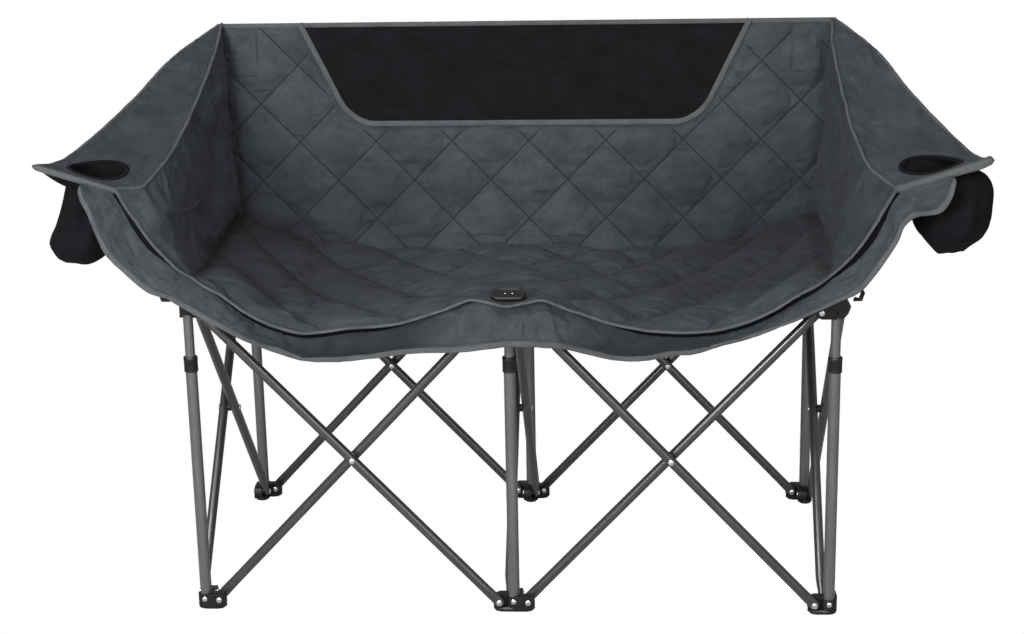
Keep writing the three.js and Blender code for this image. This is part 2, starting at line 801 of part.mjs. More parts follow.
// The place on a wing above a point in plan, found by steps.
function wingUnder(side, x, y) {
  let u = 0.15;
  let v = 0.5;
  const nudge = 1e-3;
  for (let step = 0; step < 12; step += 1) {
    const here = wingPlace(side, u, v);
    const by_u = wingPlace(side, u + nudge, v).sub(here).divideScalar(nudge);
    const by_v = wingPlace(side, u, v + nudge).sub(here).divideScalar(nudge);
    const dx = x - here.x;
    const dy = y - here.y;
    const det = by_u.x * by_v.y - by_v.x * by_u.y;
    u += (dx * by_v.y - by_v.x * dy) / det;
    v += (by_u.x * dy - dx * by_u.y) / det;
    u = Math.min(Math.max(u, 0), 1);
    v = Math.min(Math.max(v, 0), 1);
  }
  return wingPlace(side, u, v);
}

// Back pad, with pockets behind it for the three posts.
const thin = seam_thickness / 2;
const quarter_diagonal = quilt_diagonal / 4;
const back_across = 4 * Math.round(2 * back_half / quilt_diagonal);
const back_along = Math.round((back_top_height - crease_height) / quarter_diagonal);
function padRise(u, v, width_share) {
  return fade(u, width_share) * fade(v, width_share);
}
const edge_share = 0.12;
const backU = (u, v) => backPlace(2 * u - 1, v);
const back_front = (u, v, c, r) => thin
  + (pad_thickness / 2 + quilt_puff * quiltRise(c, r)) * fade(v, edge_share) * fade(u, edge_share / 3);
const back_rear = () => thin;
let back_pad = padSolid(back_across, back_along, backU, back_front, back_rear, quiltCut);
const back_grown = grownPad(back_across, back_along, backU, back_front, back_rear, gap, quiltCut);

const panel_corner = panel_corner_radius;
function trapezoid(margin) {
  const top_z = back_top_height + overrun * 10;
  const slope = (panel_top_half - panel_bottom_half) / panel_height;
  const low_z = back_top_height - panel_height + margin;
  const low_half = panel_bottom_half - margin;
  const top_half = low_half + slope * (top_z - low_z);
  const side_length = Math.hypot(top_half - low_half, top_z - low_z);
  const bend_x = panel_corner * (top_half - low_half) / side_length;
  const bend_z = panel_corner * (top_z - low_z) / side_length;
  const shape = new THREE.Shape();
  shape.moveTo(-top_half, top_z);
  shape.lineTo(-low_half - bend_x, low_z + bend_z);
  shape.quadraticCurveTo(-low_half, low_z, -low_half + panel_corner, low_z);
  shape.lineTo(low_half - panel_corner, low_z);
  shape.quadraticCurveTo(low_half, low_z, low_half + bend_x, low_z + bend_z);
  shape.lineTo(top_half, top_z);
  return plateXZ(shape, 0, rear_y + crease_setback, round_steps / 2);
}
back_pad = back_pad.subtract(trapezoid(0));
const panel_thickness = () => cloth_thickness / 2;
const black_panel = padSolid(back_across / 2, Math.ceil(back_along / 2), backU, panel_thickness,
  panel_thickness)
  .intersect(trapezoid(gap));

const pockets = [];
const pocket_tops = back_top_height - thin;
for (const side of [-1, 1]) {
  const x = side * bay_width;
  const front = back_top_y;
  const back = rear_y + upper_outer / 2 + gap + pocket_wall;
  const outline = new THREE.Shape();
  outline.moveTo(x - pocket_half, front);
  outline.lineTo(x + pocket_half, front);
  outline.lineTo(x + upper_outer / 2 + pocket_wall, back);
  outline.lineTo(x - upper_outer / 2 - pocket_wall, back);
  const block = new THREE.ExtrudeGeometry(outline, { depth: pocket_length, bevelEnabled: false });
  block.translate(0, 0, pocket_tops - pocket_length);
  const post = rod(new THREE.Vector3(x, rear_y, 0),
    new THREE.Vector3(x, rear_y, back_post_top + gap), upper_outer / 2 + gap, tube_sides);
  pockets.push({ block: solidOf(block), post });
}
for (const pocket of pockets) {
  back_pad = back_pad.add(pocket.block).subtract(pocket.post);
}

// Side panels.
const side_across = 10;
const side_along = 6;
const side_pads = {};
const side_grown = {};
for (const side of [-1, 1]) {
  const place = side < 0 ? (u, v) => sidePlace(-1, u, v) : (u, v) => sidePlace(1, 1 - u, v);
  const front = (u, v) => thin + pad_thickness / 2 * padRise(u, v, edge_share * 2);
  const back = () => thin;
  side_pads[side] = padSolid(side_across, side_along, place, front, back).subtract(back_grown);
  side_grown[side] = grownPad(side_across, side_along, place, front, back, gap);
}

// The padding is pressed flat round the cap at the seat's front edge.
function clearOfCap(point) {
  const away = Math.hypot(point.x, point.y - front_y) / cap_length;
  const clipped = Math.min(Math.max((away - cap_flat_share) / cap_flat_share, 0), 1);
  return clipped * clipped * (3 - 2 * clipped);
}

// Seat halves, front and rear.
const seat_across = 4 * Math.round(2 * crease_half / quilt_diagonal);
const seat_length = bay_depth + seat_front_reach - crease_setback;
const seat_along = Math.round(seat_length / 2 / quarter_diagonal);
const split_gap_share = gap / seat_length / 2;
const seat_solids = {};
const seat_grown = {};
for (const half of ['front', 'rear']) {
  const start = half === 'front' ? 0 : seat_split_share + split_gap_share;
  const end = half === 'front' ? seat_split_share - split_gap_share : 1;
  const place = (u, v) => seatPlace(2 * u - 1, start + (end - start) * v);
  const row_shift = half === 'front' ? 0 : seat_along;
  const whole = (v) => start + (end - start) * v;
  const front = (u, v, c, r) => thin + (pad_thickness / 2 + quilt_puff * quiltRise(c, r + row_shift))
    * fade(u, edge_share / 2) * fade(whole(v), edge_share) * clearOfCap(place(u, v));
  const back = () => thin;
  const cut = (column, row) => quiltCut(column, row + row_shift);
  seat_solids[half] = padSolid(seat_across, seat_along, place, front, back, cut);
  seat_grown[half] = grownPad(seat_across, seat_along, place, front, back, gap, cut);
}
for (const side of [-1, 1]) {
  seat_solids.front = largestOf(seat_solids.front.subtract(side_grown[side]));
  seat_solids.rear = largestOf(seat_solids.rear.subtract(side_grown[side]));
}
seat_solids.rear = seat_solids.rear.subtract(back_grown);

// Cap on the front centre post, its stem through a hole in the seat's front edge.
const cap_seat = seatPlace(0, (front_y - cap_width / 2 - seatFront(0).y) / seat_length);
const cap_bottom = cap_seat.z + thin + gap;
const cap_outline = new THREE.Shape();
const cap_end = (cap_length - cap_width) / 2;
cap_outline.absarc(-cap_end, 0, cap_width / 2, Math.PI / 2, Math.PI * 3 / 2, false);
cap_outline.absarc(cap_end, 0, cap_width / 2, -Math.PI / 2, Math.PI / 2, false);
const cap_plate = new THREE.ExtrudeGeometry(cap_outline, {
  depth: cap_thickness, bevelEnabled: false, curveSegments: round_steps / 2,
});
cap_plate.translate(0, front_y, cap_bottom);
const stem_top = new THREE.Vector3(0, front_y, cap_bottom + cap_thickness / 2);
const stem_bottom = new THREE.Vector3(0, front_y, centre_post_top - cap_stem_length);
const cap_solid = solidOf(cap_plate).add(rod(stem_bottom, stem_top, cap_stem_radius, tube_sides));
const stem_hole = rod(new THREE.Vector3(0, front_y, centre_post_top - overrun),
  new THREE.Vector3(0, front_y, cap_bottom + overrun), cap_stem_radius + gap, tube_sides);
seat_solids.front = seat_solids.front.subtract(stem_hole);

// Arm wings with their cup holes.
const wing_across = 12;
const wing_along = 2;
const wing_solids = {};
const wing_grown = {};
for (const side of [-1, 1]) {
  const place = side > 0 ? (u, v) => wingPlace(1, 1 - u, v) : (u, v) => wingPlace(-1, u, v);
  const flat = () => cloth_thickness / 2 + thin / 2;
  wing_grown[side] = grownPad(wing_across, wing_along, place, flat, flat, gap);
  const hole = rod(
    new THREE.Vector3(side * cup_half, front_y + cup_setback, ridge_front_height - cup_depth),
    new THREE.Vector3(side * cup_half, front_y + cup_setback, back_top_height),
    cup_hole_radius, tube_sides);
  wing_solids[side] = padSolid(wing_across, wing_along, place, flat, flat)
    .subtract(side_grown[side]).subtract(back_grown).subtract(hole);
}

// Cup bags: a pouch hung under each wing, open at the top.
const bag_depth_shares = [0, 0.12, 0.4, 0.72, 0.92, 1];
const bag_radius_shares = [0, 0.1, 0.6, 1, 0.82, 0.4];
function bagSolid(side) {
  const centre_x = side * cup_half;
  const centre_y = front_y + cup_setback;
  const floor_z = wingUnder(side, centre_x, centre_y).z - cup_depth;
  const rim_radius = cup_hole_radius + gap;
  const positions = [];
  const rings = [];
  const ringAt = (depth_share, radius_share, inset, lift) => {
    const ring = [];
    for (let corner = 0; corner < tube_sides; corner += 1) {
      const angle = corner / tube_sides * Math.PI * 2;
      const radius = rim_radius + (cup_belly_radius - rim_radius) * radius_share;
      const shrink = depth_share >= 1 ? bag_radius_shares[bag_radius_shares.length - 1] : 1;
      const out = (depth_share >= 1 ? cup_belly_radius * shrink : radius) + cup_wall - inset;
      const x = centre_x + out * Math.cos(angle) + side * cup_droop * depth_share;
      const y = centre_y + out * Math.sin(angle);
      const top_z = wingUnder(side, centre_x + out * Math.cos(angle), y).z;
      const z = top_z + (floor_z - top_z) * depth_share + lift;
      ring.push(positions.length / 3);
      positions.push(x, y, z);
    }
    rings.push(ring);
  };
  for (let index = 0; index < bag_depth_shares.length; index += 1) {
    ringAt(bag_depth_shares[index], bag_radius_shares[index], 0, 0);
  }
  for (let index = bag_depth_shares.length - 1; index >= 0; index -= 1) {
    const lift = index === bag_depth_shares.length - 1 ? cup_wall : 0;
    ringAt(bag_depth_shares[index], bag_radius_shares[index], cup_wall, lift);
  }
  const triangles = [];
  const bottom_index = bag_depth_shares.length - 1;
  for (let index = 0; index < rings.length; index += 1) {
    if (index === bottom_index) {
      continue;
    }
    const low = rings[index];
    const high = rings[(index + 1) % rings.length];
    for (let corner = 0; corner < tube_sides; corner += 1) {
      const next = (corner + 1) % tube_sides;
      triangles.push(low[corner], low[next], high[next], low[corner], high[next], high[corner]);
    }
  }
  for (const [ring, turn] of [[rings[bottom_index], 1], [rings[bottom_index + 1], -1]]) {
    const middle = positions.length / 3;
    const z = positions[3 * ring[0] + 2];
    positions.push(centre_x + side * cup_droop, centre_y, z);
    for (let corner = 0; corner < tube_sides; corner += 1) {
      const next = (corner + 1) % tube_sides;
      if (turn > 0) {
        triangles.push(ring[corner], ring[next], middle);
      } else {
        triangles.push(ring[next], ring[corner], middle);
      }
    }
  }
  return closedSolid(positions, triangles);
}

// Front skirts: the middle one hangs from the seat's front edge, the arm ones from the wings.
const skirt_x_shares = [0, 0.18, 0.31, 0.44, 0.56, 0.8, 0.92, 1];
const skirt_rise_shares = [0.08, 0.04, -0.065, -0.08, -0.075, 0.35, 0.68, 0.9];
const skirt_corner_half = seat_corner_half + 0.06 * seat_corner_half;

// Its top edge is tucked up under the seat, a little behind the seat's front edge.
function skirtTop(s) {
  const at_corner = Math.abs(s) ** 6;
  const point = seatPlace(s, skirt_tuck / seat_length * (1 - at_corner));
  point.z -= (seam_thickness + cloth_thickness) / 2 + gap;
  return point;
}

function skirtBottom(s) {
  const rise = readTable(skirt_x_shares, skirt_rise_shares, Math.abs(s));
  return new THREE.Vector3(s * skirt_corner_half, front_y - skirt_reach,
    skirt_height + rise * skirt_swing);
}

const skirt_bulge_share = 0.35;
function bulged(top, bottom, v) {
  const point = blendOf(top, bottom, v);
  point.y += (bottom.y - top.y) * skirt_bulge_share * 4 * v * (1 - v) * 0.5;
  return point;
}

const skirt_across = 20;
const skirt_along = 2;
const skirt_half = () => cloth_thickness / 2;
const skirt_end_share = 1 - gap / seat_corner_half;
const skirtPlace = (u, v) => {
  const s = (2 * u - 1) * skirt_end_share;
  return bulged(skirtTop(s), skirtBottom(s), v);
};

const arm_skirt_shares = [0, 0.33, 0.66, 1];
const arm_panel_shares = [0.3, 0.62, 0.92];
const arm_wing_shares = [0.2, 0.35];
const arm_skirt_tuck = 6;
const arm_low_out_shares = [0, 0.5, 0.85, 1];
const arm_low_rise_shares = [0, 0.22, 0.56, 1];
const arm_skirt_top_half = 676;
const arm_skirt_end_drop = 9;
const arm_skirt_top_reach = 22;

// The top edge of an arm's skirt runs up just outside the side panel's front edge and then
// out under the wing's front edge.
const arm_skirt_tops = {};
for (const side of [-1, 1]) {
  const beside = new THREE.Vector3(side * (thin + cloth_thickness / 2 + gap), arm_skirt_tuck, 0);
  const below = new THREE.Vector3(0, -arm_skirt_tuck, -(cloth_thickness + thin / 2 + gap));
  const end_share = (arm_skirt_top_half - ridge_front_half) / (wing_tip_half - ridge_front_half);
  arm_skirt_tops[side] = curveThrough([
    skirtTop(side),
    ...arm_panel_shares.map((share) => readCurve(panel_front_curves[side], share).add(beside)),
    ...[...arm_wing_shares, end_share].map((share) => wingPlace(side, 0, share).add(below)),
  ]);
}

function armSkirtTop(side, u) {
  return readCurve(arm_skirt_tops[side], u);
}

function armSkirtBottom(side, u) {
  const start = skirtBottom(side);
  const end = armSkirtTop(side, 1);
  end.y -= arm_skirt_top_reach;
  end.z -= arm_skirt_end_drop;
  return new THREE.Vector3(
    start.x + (end.x - start.x) * readTable(arm_skirt_shares, arm_low_out_shares, u),
    start.y + (end.y - start.y) * u,
    start.z + (end.z - start.z) * readTable(arm_skirt_shares, arm_low_rise_shares, u));
}

const arm_skirt_across = 8;
const arm_skirts = {};
for (const side of [-1, 1]) {
  const place = (u, v) => {
    const share = side > 0 ? u : 1 - u;
    return bulged(armSkirtTop(side, share), armSkirtBottom(side, share), v);
  };
  arm_skirts[side] = padSolid(arm_skirt_across, skirt_along, place, skirt_half, skirt_half)
    .subtract(wing_grown[side]).subtract(side_grown[side]).subtract(seat_grown.front);
}
const front_skirt = padSolid(skirt_across, skirt_along, skirtPlace, skirt_half, skirt_half)
  .subtract(seat_grown.front);

addPiece('seat_front_half', seat_solids.front, grey_cloth);
addPiece('seat_rear_half', seat_solids.rear, grey_cloth);
addPiece('back_pad', back_pad, grey_cloth);
addPiece('back_black_panel', black_panel, black_cloth);
addPiece('front_skirt', front_skirt, grey_cloth);
addPiece('front_centre_cap', cap_solid, black_plastic);
for (const side of [-1, 1]) {
  const word = side < 0 ? 'left' : 'right';
  addPiece(word + '_side_panel', side_pads[side], grey_cloth);
  addPiece(word + '_arm_wing', wing_solids[side], grey_cloth);
  addPiece(word + '_arm_skirt', arm_skirts[side], grey_cloth);
  const bag = largestOf(bagSolid(side).subtract(wing_grown[side]));
  addPiece(word + '_cup_bag', bag, black_cloth);
}

// Hooks over the front corner hubs: a bent bar that crosses the strut and curls down and back.
for (const side of [-1, 1]) {
  const base_z = hub_pivot_height + hub_plate_height + gap + hook_bar_radius;
  const x0 = side * bay_width;
  const hook_y = front_y - upper_outer / 2 - gap - hook_bar_radius;
  const out_shares = [0, 0.45, 0.88, 1, 0.86, 0.64];
  const rise_shares = [0.8, 0.95, 0.98, 0.5, 0.02, 0.12];
  const points = out_shares.map((share, index) => new THREE.Vector3(
    x0 + side * hook_out * share, hook_y, base_z + hook_rise * rise_shares[index]));
  const section = new THREE.Shape();
  section.absarc(0, 0, hook_bar_radius, 0, Math.PI * 2, false);
  const hook = solidOf(new THREE.ExtrudeGeometry(section, {
    steps: 2 * bend_steps, extrudePath: curveThrough(points), curveSegments: rivet_sides / 2,
  }));
  const word = side < 0 ? 'left' : 'right';
  addPiece('front_' + word + '_hook', hook, black_plastic);
}

// The origin lies under the middle of the overall depth, from the skirt's front to the rivet heads
// behind the rear scissors.
const rear_reach = bar_offset + bar_radius + gap + rivet_head_height;
loveseat.position.y = (skirt_reach - rear_reach) / 2;

export default loveseat;
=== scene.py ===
# Looks of a folding camping loveseat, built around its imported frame.
# Lengths are in millimetres until a mesh is made; Y is measured from the middle of the frame.
import math

import bmesh
import bpy
import numpy as np
from mathutils import Matrix, Vector


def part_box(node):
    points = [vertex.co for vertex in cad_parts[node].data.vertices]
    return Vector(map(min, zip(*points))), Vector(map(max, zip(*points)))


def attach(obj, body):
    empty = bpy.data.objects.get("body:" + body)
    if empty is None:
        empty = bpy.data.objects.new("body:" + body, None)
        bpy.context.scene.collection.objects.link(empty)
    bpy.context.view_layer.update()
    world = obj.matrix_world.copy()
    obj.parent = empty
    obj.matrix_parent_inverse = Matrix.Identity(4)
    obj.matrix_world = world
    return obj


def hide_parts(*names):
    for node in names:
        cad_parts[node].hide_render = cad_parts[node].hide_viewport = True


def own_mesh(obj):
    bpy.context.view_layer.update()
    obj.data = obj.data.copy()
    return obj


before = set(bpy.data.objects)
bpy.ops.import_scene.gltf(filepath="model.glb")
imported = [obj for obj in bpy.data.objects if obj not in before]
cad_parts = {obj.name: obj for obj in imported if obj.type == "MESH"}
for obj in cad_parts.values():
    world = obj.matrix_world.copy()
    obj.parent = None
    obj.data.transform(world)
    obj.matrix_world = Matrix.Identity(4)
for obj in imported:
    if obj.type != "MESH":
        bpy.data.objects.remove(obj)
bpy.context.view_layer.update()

MM = 0.001
BAY = 520.0
FRONT_Y = -BAY / 2
REAR_Y = BAY / 2
FRAME_SHIFT = 19.725
FOOT_PIVOT = 17.0
HUB_PIVOT = 517.0
PIVOT_OFFSET = 24.0
LOWER_RADIUS = 9.5
UPPER_RADIUS = 8.0
BAR_RADIUS = 8.0
BAR_OFFSET = 10.0
ROWS = {"front": FRONT_Y, "rear": REAR_Y}
SIDES = {"left": -1, "centre": 0, "right": 1}
ARMS = {"left": -1, "right": 1}
WORDS = {side: word for word, side in ARMS.items()}

# Camera, fitted to the feet, hubs and scissor pivots: degrees, pixels and metres.
CAMERA_TURN = (-4.085, 15.88, -1.148)
CAMERA_FOCAL = 1946.0
CAMERA_X, CAMERA_Y, CAMERA_Z = 0.219, -3.246, 1.359
PHOTO_WIDTH = 1024.0
SENSOR_WIDTH = 36.0


def make_camera():
    yaw, pitch, roll = (math.radians(a) for a in CAMERA_TURN)
    forward = Vector((math.sin(yaw) * math.cos(pitch), math.cos(yaw) * math.cos(pitch),
                      -math.sin(pitch)))
    right = Vector((math.cos(yaw), -math.sin(yaw), 0.0))
    up = right.cross(forward)
    image_right = math.cos(roll) * right + math.sin(roll) * up
    image_up = -math.sin(roll) * right + math.cos(roll) * up
    data = bpy.data.cameras.new("camera")
    data.sensor_width = SENSOR_WIDTH
    data.lens = CAMERA_FOCAL / PHOTO_WIDTH * data.sensor_width
    data.clip_end = 200.0
    camera = bpy.data.objects.new("camera", data)
    turn = Matrix((image_right, image_up, -forward)).transposed().to_4x4()
    place = (CAMERA_X, CAMERA_Y + FRAME_SHIFT * MM, CAMERA_Z)
    camera.matrix_world = Matrix.Translation(place) @ turn
    bpy.context.scene.collection.objects.link(camera)
    bpy.context.scene.camera = camera


make_camera()


# Numbers on curves and grids.
def smooth(x):
    x = np.clip(x, 0.0, 1.0)
    return x * x * (3 - 2 * x)


def fade(share, width):
    return smooth(np.minimum(share, 1 - share) / width)


def table(places, values, at):
    """Reads a table smoothly, with slopes taken from the neighbours."""
    places, values = np.asarray(places, float), np.asarray(values, float)
    at = np.asarray(at, float)
    last = len(places) - 1
    i = np.clip(np.searchsorted(places, at, side="left") - 1, 0, last - 1)
    span = places[i + 1] - places[i]
    t = np.clip((at - places[i]) / span, 0, 1)

    def slope(k):
        low, high = np.maximum(k - 1, 0), np.minimum(k + 1, last)
        return (values[high] - values[low]) / (places[high] - places[low])

    return ((2 * t ** 3 - 3 * t ** 2 + 1) * values[i] + (t ** 3 - 2 * t ** 2 + t) * span * slope(i)
            + (3 * t ** 2 - 2 * t ** 3) * values[i + 1] + (t ** 3 - t ** 2) * span * slope(i + 1))


def curve_through(points, share):
    """Centripetal curve through points, read at shares of their count."""
    points = np.asarray(points, float)
    share = np.clip(np.asarray(share, float), 0, 1)
    last = len(points) - 1
    first = points[0] * 2 - points[1]
    beyond = points[-1] * 2 - points[-2]
    padded = np.vstack([first, points, beyond])
    place = share * last
    i = np.clip(np.floor(place).astype(int), 0, last - 1)
    t = (place - i)[..., None]
    p0, p1, p2, p3 = (padded[i + k] for k in range(4))

    def step(a, b):
        return np.maximum(np.sqrt(np.linalg.norm(b - a, axis=-1, keepdims=True)), 1e-4)

    d0, d1, d2 = step(p0, p1), step(p1, p2), step(p2, p3)
    t1 = ((p1 - p0) / d0 - (p2 - p0) / (d0 + d1) + (p2 - p1) / d1) * d1
    t2 = ((p2 - p1) / d1 - (p3 - p1) / (d1 + d2) + (p3 - p2) / d2) * d1
    return (p1 + t1 * t + (-3 * p1 + 3 * p2 - 2 * t1 - t2) * t ** 2
            + (2 * p1 - 2 * p2 + t1 + t2) * t ** 3)


def noise(x, y, seed):
    """Smooth noise from -1 to 1 with one wave a unit."""
    x, y = np.asarray(x, float), np.asarray(y, float)
    lattice = np.random.RandomState(seed).uniform(-1, 1, (64, 64))
    i, j = np.floor(x).astype(int), np.floor(y).astype(int)
    u, v = smooth(x - i), smooth(y - j)

    def at(a, b):
        return lattice[(i + a) % 64, (j + b) % 64]

    return ((at(0, 0) * (1 - u) + at(1, 0) * u) * (1 - v)
            + (at(0, 1) * (1 - u) + at(1, 1) * u) * v)


def creases(x, y, seed):
    """Noise with soft ridges: 1 along a crease, falling to 0 between."""
    return (1 - np.abs(noise(x, y, seed))) ** 3


# Shapes shared by the cloth pieces, at the frame's own sizes.
SEAT_X = [0, 0.1, 0.2, 0.34, 0.5, 0.64, 0.74, 0.82, 0.9, 0.955, 1]
SEAT_DROP = {-1: [0.05, 0.03, 0.3, 0.71, 0.85, 1, 0.76, 0.38, -0.14, -0.39, -0.56],
             1: [0.05, 0.05, 0.31, 0.75, 0.97, 0.92, 0.68, 0.34, -0.12, -0.36, -0.56]}
SEAT_REACH = [0.9, 0.95, 1, 1, 1, 1, 1, 0.95, 0.8, 0.6, 0]
SEAT_FRONT_HALF, SEAT_FRONT_Z, SEAT_FRONT_DROP = 508, 545, 54
SEAT_FRONT_OUT, SEAT_FRONT_BULGE = 10, 30
SEAT_DEPTH = 496
SEAT_SAG, SEAT_SIDE_SAG, SEAT_SIDE_OUT = 12, 18, 14
CREASE_HALF, CREASE_Z, CREASE_RISE, CREASE_SAG = 530, 514, 66, 13
CREASE_Y = REAR_Y - 64
BACK_TOP = 912.0
BACK_TOP_Y = REAR_Y - 9.85
BACK_WIDENS, BACK_BOW, BACK_LEAN = 19, 7, 1.6
BACK_HALF = 549.0
SEAM = 1.5


def points(*parts):
    return np.stack(np.broadcast_arrays(*parts), -1)


def by_side(s, places, values):
    """Reads the left or the right table of a pair, by the sign of s."""
    return np.where(np.asarray(s) < 0, table(places, values[-1], np.abs(s)),
                    table(places, values[1], np.abs(s)))


def seat_front(s):
    out = SEAT_FRONT_BULGE * table(SEAT_X, SEAT_REACH, np.abs(s))
    return points(s * SEAT_FRONT_HALF, FRONT_Y - SEAT_FRONT_OUT - out,
                  SEAT_FRONT_Z - SEAT_FRONT_DROP * by_side(s, SEAT_X, SEAT_DROP))


def seat_crease(s):
    size = np.abs(np.clip(s, -1, 1))
    return points(s * CREASE_HALF, CREASE_Y + 0 * s,
                  CREASE_Z + CREASE_RISE * size ** 5 - CREASE_SAG * np.sin(np.pi * size) ** 0.7)


def seat_place(s, v):
    s, v = np.broadcast_arrays(np.asarray(s, float), np.asarray(v, float))
    p = seat_front(s) * (1 - v)[..., None] + seat_crease(s) * v[..., None]
    sag, side = 4 * v * (1 - v), np.abs(s) ** 5
    p[..., 2] -= sag * (SEAT_SAG + SEAT_SIDE_SAG * side)
    p[..., 0] += np.sign(s) * sag * side * SEAT_SIDE_OUT
    x = p[..., 0]
    dip = 3.5 * np.exp(-((np.abs(x) - 60) / 16) ** 2) - 8 * np.exp(-(x / 34) ** 2)
    p[..., 2] += dip * smooth(1 - v / 0.1)
    return p


def back_place(s, v):
    s, v = np.broadcast_arrays(np.asarray(s, float), np.asarray(v, float))
    crease = seat_crease(s)
    rise = 1 - np.maximum(1 - v, 0) ** BACK_LEAN
    foot_y = crease[..., 1] + 7
    return points(s * (CREASE_HALF + BACK_WIDENS * v) + BACK_BOW * s * np.abs(s),
                  foot_y + (BACK_TOP_Y - foot_y) * rise,
                  (crease[..., 2] - 8) * (1 - v) + BACK_TOP * v)


WING_Y = np.array([0, 0.27, 0.58, 0.815, 1])
RIDGE_FRONT = np.array([592, FRONT_Y - 3, 706])
WING_TIP = np.array([753, FRONT_Y - 3, 758])
WING_REAR = np.array([BACK_HALF, BACK_TOP_Y, BACK_TOP])


def wing_curve(front, x_shares, z_shares, side, share):
    x = WING_REAR[0] + (front[0] - WING_REAR[0]) * np.asarray(x_shares)
    y = front[1] + (WING_REAR[1] - front[1]) * WING_Y
    z = front[2] + (WING_REAR[2] - front[2]) * np.asarray(z_shares)
    return curve_through(np.stack([side * x, y, z], -1), share)


def ridge(side, share):
    return wing_curve(RIDGE_FRONT, [1, 0.35, 0.05, -0.1, 0], [0, 0.205, 0.515, 0.79, 1],
                      side, share)


def wing_edge(side, share):
    return wing_curve(WING_TIP, [1, 0.945, 0.605, 0.345, 0.035], [0, -0.1, 0.305, 0.71, 1],
                      side, share)


def wing_place(side, u, v):
    return ridge(side, u) * (1 - v)[..., None] + wing_edge(side, u) * v[..., None]


# Front edge of each side panel, from the seat's corner up to the shelf, as (x, z).
SIDE_FRONT = {-1: [(508, 575), (527, 589), (551, 613), (571, 637), (589, 665), (607, 692)],
              1: [(508, 575), (536, 603), (557, 629), (576, 659), (592, 688)]}
CORNER_SHARE = {-1: 0.19, 1: 0.1}
CORNER_LEAN = {-1: 0.06, 1: 0.14}


def shelf_corner(side):
    return wing_place(side, np.array(0.0), np.array(CORNER_SHARE[side])) + np.array([0, -1.5, 1])


def side_front(side, v):
    low, high = seat_front(np.array(float(side))), shelf_corner(side)
    way = [[side * x, low[1] + (high[1] - low[1]) * (z - low[2]) / (high[2] - low[2]), z]
           for x, z in SIDE_FRONT[side]]
    way = np.array(way + [high])
    way[1:-1] += [0, -9.5, 1.7]
    return curve_through(way, v)


def side_top(side, u):
    """The ridge, but drawn out over the wing's front corner to the shelf's front edge."""
    u = np.asarray(u, float)
    lean = 1 - smooth(u / CORNER_LEAN[side])
    return ridge(side, u) + (shelf_corner(side) - ridge(side, np.array(0.0))) * lean[..., None]


def side_place(side, u, v):
    u, v = np.broadcast_arrays(np.asarray(u, float), np.asarray(v, float))
    a, b = u[..., None], v[..., None]
    bottom, top = seat_place(side + 0 * u, u), side_top(side, u)
    front = side_front(side, v)
    rear_low, rear_high = seat_crease(np.array(float(side))), ridge(side, np.array(1.0))
    rear = rear_low * (1 - b) + rear_high * b
    rise = 1 - np.maximum(1 - v, 0) ** BACK_LEAN
    rear[..., 1] = rear_low[1] + (rear_high[1] - rear_low[1]) * rise
    rear += np.sin(np.pi * v)[..., None] * np.array([side * 3.0, 3.0, 0])
    low0, high0 = side_front(side, np.array(0.0)), shelf_corner(side)
    corners = ((low0 * (1 - a) + rear_low * a) * (1 - b)
               + (high0 * (1 - a) + rear_high * a) * b)
    return bottom * (1 - b) + top * b + front * (1 - a) + rear * a - corners


SKIRT_X = [0, 0.1, 0.175, 0.25, 0.32, 0.4, 0.48, 0.55, 0.63, 0.7, 0.77, 0.84, 0.91, 1]
SKIRT_RISE = {-1: [0.1, 0.03, -0.03, -0.11, -0.19, -0.255, -0.3, -0.315, -0.27, -0.1, 0.12, 0.37, 0.58, 0.86],
              1: [0.1, 0.09, 0.02, -0.15, -0.28, -0.29, -0.21, -0.18, -0.05, 0.1, 0.3, 0.5, 0.67, 0.88]}
SKIRT_TUCK = 20.0
SKIRT_HALF, SKIRT_Z, SKIRT_RISES = 538.5, 466, 105
SKIRT_OUT, SKIRT_SLANT, SKIRT_LIFT = 60, 40, 5.8


def bay_share(s):
    """1 between the posts and 0 at them."""
    return smooth((np.abs(s) - 0.1) / 0.25) * smooth((0.86 - np.abs(s)) / 0.25)


def skirt_gap(s):
    """How far the skirt hangs below the seat's edge."""
    reach = np.where(np.asarray(s) < 0, 1.0, 1.12)
    return 9 * smooth((np.abs(s) - 0.24) / 0.2) * smooth((reach - np.abs(s)) / 0.22)


def skirt_top(s):
    corner = np.abs(s) ** 6
    under = seat_place(s, SKIRT_TUCK / SEAT_DEPTH * (1 - corner))
    under[..., 2] -= 2.4 + skirt_gap(s)
    return under


def skirt_bottom(s):
    """It stands out at the posts and slants back between them."""
    back = bay_share(s)
    return points(s * SKIRT_HALF, FRONT_Y - SKIRT_OUT + SKIRT_SLANT * back,
                  SKIRT_Z + SKIRT_LIFT * back + SKIRT_RISES * by_side(s, SKIRT_X, SKIRT_RISE))


# Lower edge of each arm's skirt, from the front skirt's end up to the shelf, as (x, z).
ARM_LOW = {-1: [(568, 564), (603, 592), (631, 619), (647, 647), (662, 687), (673, 708)],
           1: [(553, 567), (574, 592), (594, 621), (608, 645), (615, 662), (632, 676), (672, 683),
               (688, 704)]}
ARM_END = {-1: 84 / 161, 1: 0.62}
# How far each arm's skirt hangs clear of the side panel's front edge, at shares of that edge.
ARM_SLIT = {-1: ((0.25, 3), (0.45, 8), (0.65, 8), (0.85, 4)),
            1: ((0.22, 8), (0.45, 9), (0.65, 7), (0.85, 4))}


